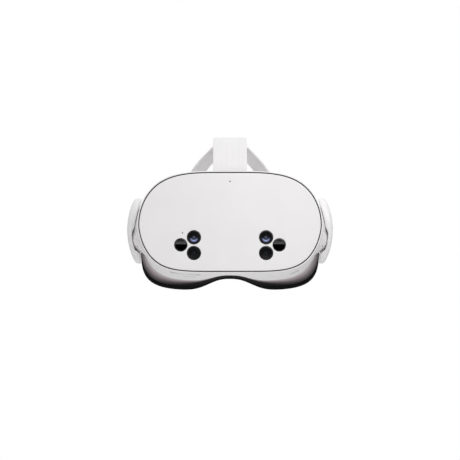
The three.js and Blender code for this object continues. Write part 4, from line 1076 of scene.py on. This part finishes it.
# The arm's side view in Y and Z, a tall round hub that narrows to the strap end: Bezier spans, end to end.
ARM_SIDE = (
    (-47, 0), (-47, 17), (-43, 29.8),
    (-28, 29.8), (-10, 29.8), (-2, 20),
    (22, 18.3), (38, 17.3), (50, 17.5),
    (60, 17.5), (64, 17.5), (ARM_REAR, 15),
    (ARM_REAR, 11), (ARM_REAR, 6), (ARM_REAR, 0),
    (ARM_REAR, -6), (ARM_REAR, -10), (64, -12.5),
    (60, -12.5), (38, -13), (14, -16),
    (-4, -24), (-12, -28.4), (-20, -31.4),
    (-29, -31.4), (-43, -31.4), (-47, -18), (-47, 0),
)
ARM_MIDDLE = np.array((-2.0, 0.0))
ARM_SPANS = [bezier(ARM_SIDE[k:k + 4], 60) for k in range(0, len(ARM_SIDE) - 1, 3)]
ARM_RIM = even_loop(np.vstack(ARM_SPANS), 220)[::-1]


def arm_outer_x(y, z):
    """The arm's outer face: crowned, tapered to the rear, and falling away ahead of the pivot."""
    along = np.clip((y - PIVOT_Y) / (ARM_REAR - PIVOT_Y), 0, 1)
    ahead = np.maximum(0, PIVOT_Y - y) / HUB_REACH
    crown = ARM_CROWN * ((z - ARM_LIFT * along) / ARM_HALF_HEIGHT) ** 2
    return ARM_OUTER - (ARM_OUTER - ARM_REAR_OUTER) * along ** ARM_TAPER - HUB_FALL * ahead ** 2 - crown


def arm_inner_x(y, z):
    """The arm's inner face follows the dome, and hooks inwards round it below and ahead."""
    angle = angle_ahead(y, z)
    cone = smoothstep(angle, *ARM_CONE_AHEAD) * (1 - smoothstep(angle, *ARM_CONE_BEHIND))
    flare = FLARE * np.clip((FLARE_START - y) / FLARE_LENGTH, 0, 1)
    plain = np.maximum(dome_x(y, z, cone) + ARM_CLEARANCE, ARM_INNER - flare)
    radius = np.hypot(y - PIVOT_Y, z - PIVOT_Z)
    hook = smoothstep(radius, *HOOK_RADII) * (1 - smoothstep(z, *HOOK_TOP)) * (1 - smoothstep(y, *HOOK_REAR))
    return plain - hook * np.maximum(0, plain - HOOK_X)


def arm_ring(scale, share, lift=0.0):
    """A ring of the arm, from its share of the side view's size and of the way to the outer face."""
    loop = ARM_MIDDLE + (ARM_RIM - ARM_MIDDLE) * scale
    y, z = loop.T
    inner, outer = arm_inner_x(y, z), arm_outer_x(y, z)
    return np.column_stack([inner + (outer - inner) * share + lift, y, z])


COVER_SCALE, COVER_DEPTH, COVER_GAP = 0.885, 1.25, 0.008
SPEAKER_Y, SPEAKER_Z, SPEAKER_RADIUS, HOLE_PITCH = 22.3, 1.0, 12.4, 3.1
ARM_SCREWS = ((50, 8), (-6, -2))


def make_arm(label, side):
    """An arm's casing, from the middle of its outer face round to the recess for its cover."""
    edge = COVER_SCALE + COVER_GAP
    face = [(scale, 1) for scale in (0.02, 0.15, 0.3, 0.45, 0.6, 0.72, 0.82)]
    face += [(0.89, 0.995), (0.93, 0.975), (0.957, 0.93), (0.977, 0.86), (0.99, 0.76), (0.997, 0.64),
             (1, 0.5), (1, 0.3), (0.998, 0.16), (0.99, 0.05), (0.978, 0), (0.93, 0), (edge, 0)]
    rings = [arm_ring(scale, share) for scale, share in face]
    rings += [arm_ring(scale, 0, COVER_DEPTH) for scale in (edge, 0.7, 0.5, 0.3, 0.15, 0.02)]
    piece = capped(f"{label}_arm_casing", [mirrored(r, side) for r in rings])
    cut_away(piece, [strap_slot_cutter(side)])
    finish(piece, "arm", f"{label}_arm", "shell_white", f"{label}_arm_shell")
    make_arm_cover(label, side)


def strap_slot_cutter(side):
    start, bend = np.array(BAND_START), np.array(BAND_BEND)
    points = start + np.outer(np.linspace(-0.02, 0.2, 8), bend - start)
    width, thickness = BAND_WIDTH + 1, BAND_THICKNESS + 0.9
    return ribbon("slot_cutter", mirrored(points, side), width, thickness, 0.3, edge_points=1)


def make_arm_cover(label, side):
    """The arm's inner cover, with the speaker's holes and gauze, and a screw at each end."""
    body = f"{label}_arm"
    loop = (ARM_MIDDLE + (even_loop(ARM_RIM, 160) - ARM_MIDDLE) * COVER_SCALE)[::-1]
    holes = [circle(13 + column * HOLE_PITCH, -5.2 + row * HOLE_PITCH, 0.75, 14, True)
             for row in range(5) for column in range(7)]
    holes += [circle(y, z, 1.9, 24, True) for y, z in ARM_SCREWS]

    def place(points, depth):
        y, z = points.T
        return mirrored(np.column_stack([arm_inner_x(y, z) + depth, y, z]), side)

    piece = slab(f"{label}_arm_inner_cover", loop, holes, place, COVER_DEPTH - 0.3, 0.25, 4.0, 2)
    finish(piece, "arm", body, "shell_white", f"{label}_arm_cover")
    for index, (y, z) in enumerate(ARM_SCREWS):
        head = (float(arm_inner_x(y, z)) + 0.35, y, z)
        make_screw(f"{label}_arm_screw_{index + 1}", head, X, side, 1.7, body)
    behind = (float(arm_inner_x(SPEAKER_Y, SPEAKER_Z)) + COVER_DEPTH - 0.28, SPEAKER_Y, SPEAKER_Z)
    profile = [(0.01, 0), (SPEAKER_RADIUS, 0), (SPEAKER_RADIUS, 0.25), (0.01, 0.25)]
    gauze = lathe(f"{label}_speaker_gauze", profile, on_plane(behind, Y, Z, X, side), 48)
    finish(gauze, "pit", body, "black_plastic")


def make_screw(name, centre, inward, side, radius, body, *nodes):
    """A countersunk cross-head screw seen from its head."""
    helper = Z if abs(inward[2]) < 0.9 else X
    across = unit(np.cross(inward, helper))
    up = np.cross(inward, across)
    profile = [(0.01, 0.0), (radius * 0.8, 0.05), (radius, 0.25), (radius * 0.98, 0.5), (radius * 0.5, 1.3),
               (radius * 0.45, 3.0), (0.01, 3.0)]
    piece = lathe(name, profile, on_plane(centre, across, up, inward, side), 32)
    loop = rounded_box(radius * 1.2, radius * 0.24, radius * 0.1, 2)
    head = centre - 0.5 * inward
    cut_away(piece, [slab("screw_slot", loop, [], on_plane(head, a, b, inward, side), 1.1, 0.01, 5, 1)
                     for a, b in ((across, up), (up, across))])
    finish(piece, "steel", body, "steel", *nodes)


# ---------------------------------------- straps


STITCH_LENGTH, STITCH_GAP, STITCH_RADIUS, STITCH_SIDES, STITCH_STEPS = 2.2, 0.9, 0.2, 6, 5
STITCH_SUNK, SEAM_INSET = 0.15, 1.9  # from the strap's face and from its edge
WEB_THINNER = 0.3  # the webbing is this much thinner than the strap's solid


def head_normal(points):
    return unit((points - np.array((0, HEAD_Y, 0))) / np.array(HEAD_HALF) ** 2)


def resample(points, count):
    run = run_along(points)
    return sampled(points, run, np.linspace(0, run[-1], count))


def catmull(points, count):
    """A smooth curve through points, by centripetal Catmull-Rom spans, with even spacing."""
    p = np.array(points, float)
    p = np.vstack([2 * p[0] - p[1], p, 2 * p[-1] - p[-2]])

    def between(a, b, start, end, t):
        return (end - t) / (end - start) * a + (t - start) / (end - start) * b

    dense = []
    for i in range(1, len(p) - 2):
        steps = np.maximum(np.linalg.norm(np.diff(p[i - 1:i + 3], axis=0), axis=1), 1e-6) ** 0.5
        t0, t1, t2, t3 = np.concatenate([[0], np.cumsum(steps)])
        t = np.linspace(t1, t2, 48, endpoint=i == len(p) - 3)[:, None]
        a1, a2, a3 = (between(p[i + k], p[i + k + 1], *knots, t)
                      for k, knots in ((-1, (t0, t1)), (0, (t1, t2)), (1, (t2, t3))))
        dense.append(between(between(a1, a2, t0, t2, t), between(a2, a3, t1, t3, t), t1, t2, t))
    return resample(np.vstack(dense), count)


def strap_axes(points, normals=None):
    """Along, across and out of a strap at each of its points."""
    along = unit(np.gradient(points, axis=0))
    across = unit(np.cross(along, head_normal(points) if normals is None else normals))
    return along, across, np.cross(across, along)


def strap_section(width, thickness, corner, edge_points=4):
    """A strap's section: flat faces with rounded selvedges, closed, with extra points across its width."""
    loop = rounded_box(width, thickness, min(corner, thickness / 2 - 0.01), edge_points)
    points = []
    for a, b in zip(loop, np.roll(loop, -1, 0)):
        points.append(a)
        if np.linalg.norm(b - a) > 3:
            points += [a + (b - a) * t for t in np.linspace(0, 1, 12)[1:-1]]
    return np.array(points)


def ribbon(name, points, width, thickness, corner=0.8, normals=None, edge_points=4):
    """A strap along a line of points. It keeps its own along and across measure for its weave."""
    _, across, out = strap_axes(points, normals)
    section = strap_section(width, thickness, corner, edge_points)
    rings = [point + np.outer(section[:, 0], a) + np.outer(section[:, 1], o)
             for point, a, o in zip(points, across, out)]
    run = run_along(points)
    measure = [(s, *place) for s in run for place in section] + [(run[0], 0, 0), (run[-1], 0, 0)]
    return capped(name, rings, 50, measure)


def stitches(name, path, normals, body):
    """A row of thread stitches lying on a line, each a short rounded bar that dips in at its ends."""
    run = run_along(path)
    count = max(1, int(run[-1] / (STITCH_LENGTH + STITCH_GAP)))
    outward = unit(normals)
    turn = turns(STITCH_SIDES)[:, None]
    rings, faces = [], []
    for k in range(count):
        at = (k + 0.5) * run[-1] / count + STITCH_LENGTH * np.linspace(-0.5, 0.5, STITCH_STEPS)
        out = sampled(outward, run, at)
        along = unit(sampled(path, run, at + 0.05) - sampled(path, run, at - 0.05))
        across = np.cross(along, out)
        for step, here in enumerate(sampled(path, run, at)):
            arch = math.sin(math.pi * step / (STITCH_STEPS - 1))
            size = STITCH_RADIUS * (0.45 + 0.55 * arch)
            lift = STITCH_RADIUS * 0.9 * arch - 0.1 + size * np.sin(turn)
            rings.append(here + out[step] * lift + across[step] * size * np.cos(turn))
        start = k * STITCH_SIDES * STITCH_STEPS
        last = start + STITCH_SIDES * (STITCH_STEPS - 1)
        faces += [tuple(i + start for i in f) for f in strips(STITCH_SIDES, STITCH_STEPS)]
        faces.append(tuple(range(start, start + STITCH_SIDES)))
        faces.append(tuple(reversed(range(last, last + STITCH_SIDES))))
    return finish(build(name, np.vstack(rings), faces, 60), "thread", body, "strap_fabric")


def seams(line, width, side, start, end):
    """The line of stitches along each of a strap's two edges, with its outward directions."""
    _, across, out = (axis[start:end] for axis in strap_axes(line))
    for offset in (width / 2 - SEAM_INSET, SEAM_INSET - width / 2):
        yield line[start:end] + across * offset * side + out * (BAND_THICKNESS / 2 - STITCH_SUNK), out


ANCHOR_LOW, ANCHOR_HIGH = box_mm("strap_anchor")
ANCHOR_FRONT, ANCHOR_REAR = -25.4, ANCHOR_HIGH[1]
ANCHOR_BASE, ANCHOR_TOP, FOOT_BASE = 52.3, ANCHOR_HIGH[2], 50.3
SLOT_FRONT, SLOT_REAR, SLOT_WIDTH = -20.6, -15.0, 33.4
IN_SLOT = (SLOT_FRONT + SLOT_REAR) / 2
TOP_UNDERSIDE = box_mm("top_strap")[0][2]
TOP_ROUTE = (  # the top strap's Y and Z, from its anchor's slot to the crown
    (IN_SLOT, TOP_UNDERSIDE), (IN_SLOT, 55), (-14.6, 63), (-5, 72.5), (10, 80.5), (32, 86.2), (60, 88.8),
    (92, 89.6), (122, 86.4),
)
SLIDER_Y, SLIDER_LOW, SLIDER_HIGH, SLIDER_LENGTH, SLIDER_THICKNESS = 148, -16, 18, 14, 6
GRIPS, GRIP_PITCH, GRIP_PROUD = 4, 2.4, 0.35
BRANCH_POINTS = ((10.9, 134, 81.6), (17.5, 141.5, 75.6), (25.6, 149, 67.6), (33.6, 155.4, 57.6),
                 (46, 159.5, 43), (57.5, 157, 29))
CROWN_CORNERS = ((-15.5, 117.5), (15.5, 117.5), (15.7, 126.6), (17.5, 133), (0, 146.5), (-17.5, 133),
                 (-15.7, 126.6))
CROWN_ROUNDING, CROWN_THICKNESS, CROWN_PROUD, CROWN_SEAM = 2.6, 2.4, 0.75, 1.8


def make_anchor():
    """The loop that the top strap passes through, and the foot that joins it to the housing."""
    width, length = ANCHOR_HIGH[0] - ANCHOR_LOW[0], ANCHOR_REAR - ANCHOR_FRONT
    outer = rounded_box(width, length, 3.0, 8, centre=(0, (ANCHOR_REAR + ANCHOR_FRONT) / 2))
    slot = rounded_box(SLOT_WIDTH, SLOT_REAR - SLOT_FRONT, 1.2, 6, True, (0, IN_SLOT))
    place = on_plane((0, 0, ANCHOR_TOP), X, Y, -Z)
    loop = slab("strap_anchor_loop", outer, [slot], place, ANCHOR_TOP - ANCHOR_BASE, 0.7, 4.0, 4)
    finish(loop, "housing", "headset", "shell_white", "strap_anchor")
    tab = rounded_box(width - 8, 7.5, 2.5, 6, centre=(0, ANCHOR_FRONT - 1))
    foot = slab("strap_anchor_foot", tab, [], place, ANCHOR_TOP - FOOT_BASE, 0.7, 4.0, 4)
    finish(foot, "housing", "headset", "shell_white")


def make_top_strap():
    """The top strap: from the crown down to its anchor, round the bar, and its loose end back up."""
    main = catmull([(0, y, z) for y, z in TOP_ROUTE], 150)
    _, _, out = strap_axes(main)
    bar_y, bar_z = (SLOT_REAR + ANCHOR_REAR) / 2, (ANCHOR_BASE + ANCHOR_TOP) / 2
    low = ANCHOR_BASE - 0.25 - TOP_THICKNESS / 2
    behind = bar_y + (ANCHOR_REAR - SLOT_REAR) / 2 + 1.35
    fold = [(main[4][1], main[4][2]), (main[0][1] + 0.4, low + 1.6), (main[0][1] + 1.9, low + 0.2),
            (bar_y - 0.6, low), (bar_y + 1.2, low + 0.15), (behind - 0.3, low + 1.3), (behind + 0.2, bar_z),
            (behind + 0.4, ANCHOR_TOP + 1.5)]
    tail = [main[i] - out[i] * (TOP_THICKNESS + 0.35) for i in (26, 34, 42, 50)]
    line = catmull([*main[::-6][:-1], *((0, y, z) for y, z in fold), *tail], 420)
    facing = np.cross(unit(np.gradient(line, axis=0)), X)  # it stays in the middle plane, so it mustn't twist
    piece = ribbon("top_strap_webbing", line, TOP_WIDTH, TOP_THICKNESS - WEB_THINNER, normals=facing)
    finish(piece, "strap", None, "strap_fabric", "top_strap")
    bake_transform(piece)


def band_line(count):
    """The rear band: from each arm's slot straight to a bend, and on round the back of the head."""
    start, bend, rear = (np.array(p, float) for p in (BAND_START, BAND_BEND, BAND_REAR))
    corner = bend + unit(bend - start) * BAND_EASE
    flank = (BAND_FLANK, *rear[1:])
    straight = np.linspace(start, bend, 80, endpoint=False)
    half = np.vstack([straight, bezier([bend, corner, flank, rear], 120), rear])
    return resample(np.vstack([half, mirrored(half, -1)[::-1][1:]]), count)


def make_band():
    """The rear band's webbing, with a row of stitches along each edge."""
    line = band_line(260)
    piece = ribbon("rear_band_webbing", line, BAND_WIDTH, BAND_THICKNESS - WEB_THINNER)
    finish(piece, "strap", "left_arm", "strap_fabric", "rear_band")
    for name, (seam, out) in zip(("upper", "lower"), seams(line, BAND_WIDTH, 1, 8, -8)):
        stitches(f"rear_band_{name}_stitches", seam, out, "left_arm")


def slider_axes():
    """The left slider's middle, with its directions along the band, up it and out from the head."""
    start, bend = np.array(BAND_START, float), np.array(BAND_BEND, float)
    centre = start + (bend - start) * (SLIDER_Y - start[1]) / (bend[1] - start[1])
    along = unit(bend - start)
    across = unit(np.cross(along, head_normal(centre)))
    return centre, along, across * np.sign(across[2]), np.cross(across, along)


def make_slider(label, side):
    """A slider on the rear band, with a row of grip bars across its outside."""
    centre, along, up, out = slider_axes()
    middle = (SLIDER_LOW + SLIDER_HIGH) / 2
    outer = rounded_box(SLIDER_HIGH - SLIDER_LOW, SLIDER_THICKNESS, 2.2, 8, centre=(middle, 0))
    slot = rounded_box(BAND_WIDTH + 1.2, 3.2, 0.9, 5, True)
    place = on_plane(centre + along * SLIDER_LENGTH / 2, up, out, -along, side)
    piece = slab(f"{label}_slider_loop", outer, [slot], place, SLIDER_LENGTH, 0.9, 3.0, 4)
    finish(piece, "arm", f"{label}_slider", "shell_white", f"{label}_strap_slider")
    bar = rounded_box(15, 1.1, 0.5, 5)
    for index in range(GRIPS):
        offset = (index - (GRIPS - 1) / 2) * GRIP_PITCH
        top = centre + along * offset + out * (SLIDER_THICKNESS / 2 + GRIP_PROUD)
        place = on_plane(top, up, along, -out, side)
        grip = slab(f"{label}_slider_grip_{index + 1}", bar, [], place, 0.8, 0.3, 4.0, 3)
        finish(grip, "arm", f"{label}_slider", "shell_white")


def make_branch(label, side):
    """A branch strap from the crown to its slider, with a row of stitches along each edge."""
    centre, _, up, _ = slider_axes()
    last = centre + up * (SLIDER_HIGH + 11.4) + np.array((-0.6, 0.6, 0))
    line = mirrored(catmull([*BRANCH_POINTS, last, centre + up * (SLIDER_HIGH - 1.5)], 150), side)
    start = tuple(mirrored(np.array(BRANCH_POINTS[2], float), side) * MM)
    end = tuple(mirrored(centre + up * (SLIDER_HIGH + 2), side) * MM)
    piece = ribbon(f"{label}_branch_webbing", line, BRANCH_WIDTH, BAND_THICKNESS - WEB_THINNER)
    finish(piece, "strap", None, "strap_fabric", f"{label}_branch_strap")
    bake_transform(piece)
    for name, (seam, out) in zip(("front", "rear"), seams(line, BRANCH_WIDTH, side, 3, -12)):
        row = stitches(f"{label}_branch_{name}_stitches", seam, out, None)
        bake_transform(row)


def on_crown(points, depth):
    """Places 2-D points on the head's top, at a depth below the crown patch's outside."""
    x, y = points.T
    share = 1 - (x / HEAD_HALF[0]) ** 2 - ((y - HEAD_Y) / HEAD_HALF[1]) ** 2
    return np.column_stack([x, y, HEAD_HALF[2] * np.sqrt(share) + CROWN_PROUD - depth])


def make_crown():
    """The crown patch, where the top strap and the two branches are sewn together."""
    loop = round_corners(np.array(CROWN_CORNERS), CROWN_ROUNDING)
    piece = slab("crown_patch", loop, [], on_crown, CROWN_THICKNESS, 0.6, 3.0, 3)
    attribute = piece.data.attributes.new("measure", "FLOAT_VECTOR", "POINT")
    for vertex, value in zip(piece.data.vertices, attribute.data):
        value.vector = (vertex.co.y / MM, vertex.co.x / MM, 0)
    finish(piece, "strap", "left_arm", "strap_fabric", "crown_gusset")
    seam = even_loop(inset(loop, CROWN_SEAM), 160)
    path = on_crown(np.vstack([seam, seam[:1]]), 0)
    stitches("crown_patch_stitches", path, head_normal(path), "left_arm")


def round_corners(corners, radius):
    """A polygon with its corners rounded off by short curves."""
    loop = []
    for k, here in enumerate(corners):
        a, b = (here + unit(corners[j % len(corners)] - here) * radius for j in (k - 1, k + 1))
        loop += [(1 - t) ** 2 * a + 2 * (1 - t) * t * here + t ** 2 * b for t in np.linspace(0, 1, 6)]
    return np.array(loop)


# ---------------------------------------- optics

LENS_LOW, LENS_HIGH = box_mm("left_lens")
BARREL_LOW, BARREL_HIGH = box_mm("left_lens_barrel")
LENS_X, LENS_Z = ((LENS_LOW[k] + LENS_HIGH[k]) / 2 for k in (0, 2))
LENS_RADIUS = (LENS_HIGH[0] - LENS_LOW[0]) / 2
LENS_REAR = BARREL_HIGH[1]
BARREL_RADIUS = (BARREL_HIGH[0] - BARREL_LOW[0]) / 2
BEZEL_LOW, BEZEL_HIGH = box_mm("lens_bezel")
LENS_TRAVEL = 2.5
BEZEL_SCREWS = {3: (70, 26), 4: (70, -18), 1: (-70, 26), 2: (-70, -18)}
BUSH_HEIGHTS, BUSH_FRONT = (30.5, -26.5), -39.2


def make_optics():
    """The two lens barrels with their bushes on the guide rods, and the lenses in them."""
    front, bore, stop = BARREL_LOW[1] - LENS_REAR, LENS_RADIUS + 0.3, LENS_RADIUS - 1.4
    barrel = [(bore, front), (BARREL_RADIUS, front), (BARREL_RADIUS, -0.8), (BARREL_RADIUS - 0.25, -0.2),
              (BARREL_RADIUS - 0.8, 0), (LENS_RADIUS + 0.6, -0.1), (bore, -0.5), (bore, -1.6), (bore, -6),
              (stop, -6.4), (stop, -8), (bore, -9.5), (bore, front)]
    lens = [(r, -0.7 - 3.0 * (r / LENS_RADIUS) ** 2) for r in (0, *np.linspace(2, LENS_RADIUS - 0.4, 14))]
    lens[0] = (0.01, lens[0][1])
    lens += [(LENS_RADIUS, -3.9), (LENS_RADIUS, -4.5), (LENS_RADIUS - 0.5, -4.7), (0.01, -4.7)]
    for label, side in SIDES:
        body = f"{label}_lens_carriage"
        place = on_plane((side * LENS_X, LENS_REAR, LENS_Z), X, Z, Y)
        tube = lathe(f"{label}_barrel_tube", barrel, place, 128)
        finish(tube, "black", body, "black_plastic", f"{label}_lens_barrel")
        for index, z in enumerate(BUSH_HEIGHTS):
            at_rod = on_plane((side * LENS_X, BUSH_FRONT, z), X, Z, Y)
            loop = rounded_box(18, 8.2, 1.2, 4)
            bush = slab(f"{label}_rod_bush_{index + 1}", loop, [], at_rod, 6.4, 0.5, 4.0, 3)
            finish(bush, "black", body, "black_plastic")
        finish(lathe(f"{label}_viewing_lens", lens, place, 128), "lens", body, "lens_glass", f"{label}_lens")


def make_bezel():
    """The inner bezel, with a hole round each barrel that leaves room for the lenses to slide."""
    y0, y1 = BEZEL_LOW[1], BEZEL_HIGH[1]
    inner = mixed(*(grown(housing_outline(share), -HOUSING_WALL - 0.4) for share in (0.86, 0.70)), 0.5)
    x, z = outline_points(inner, turns(200))
    outer = np.column_stack([x * (BEZEL_HIGH[0] / x.max()), z])
    holes = []
    for _, side in SIDES:
        loop = circle(side * LENS_X, LENS_Z, BARREL_RADIUS + 0.7, 120)
        loop[:, 0] += np.sign(np.cos(turns(120))) * LENS_TRAVEL
        holes.append(loop[::-1])
    holes += [circle(x, z, 1.3, 20, True) for x, z in BEZEL_SCREWS.values()]
    piece = slab("inner_bezel", outer, holes, on_plane((0, y1, 0), X, Z, -Y), y1 - y0, 0.4, 6.0, 3)
    finish(piece, "black", "headset", "black_plastic", "lens_bezel")
    for number, (x, z) in BEZEL_SCREWS.items():
        head = (x, y1 + 1.6, z)
        make_screw(f"bezel_screw_head_{number}", head, -Y, 1, 2.2, "headset", f"bezel_screw_{number}")


# ---------------------------------------- kept CAD nodes' finish

KEPT = {
    "optics_chassis": "black", "display_panel": "cover_glass", "main_board": "board",
    "heat_sink": "aluminium", "fan_housing": "black", "fan_rotor": "black", "battery": "battery",
    "upper_guide_rod": "steel", "lower_guide_rod": "steel", "sync_pinion": "acetal",
}
for label, _ in SIDES:
    KEPT.update({
        f"{label}_sensor_carrier": "black", f"{label}_pivot_pin": "steel", f"{label}_rack": "acetal",
        f"{label}_upper_camera": "black", f"{label}_lower_camera": "black", f"{label}_speaker": "black",
    })


def finish_kept_nodes():
    for node, material in KEPT.items():
        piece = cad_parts[node]
        piece.data.materials.clear()
        piece.data.materials.append(MATERIALS[material])


# ---------------------------------------- assembly

make_plate()
make_gasket()
make_housing()
make_controls()
make_usb()
make_windows()
make_face_frame()
make_cushion()
make_anchor()
make_top_strap()
make_band()
make_crown()
for label, side in SIDES:
    make_arm(label, side)
    make_slider(label, side)
    make_branch(label, side)
make_optics()
make_bezel()
finish_kept_nodes()

bpy.context.view_layer.update()
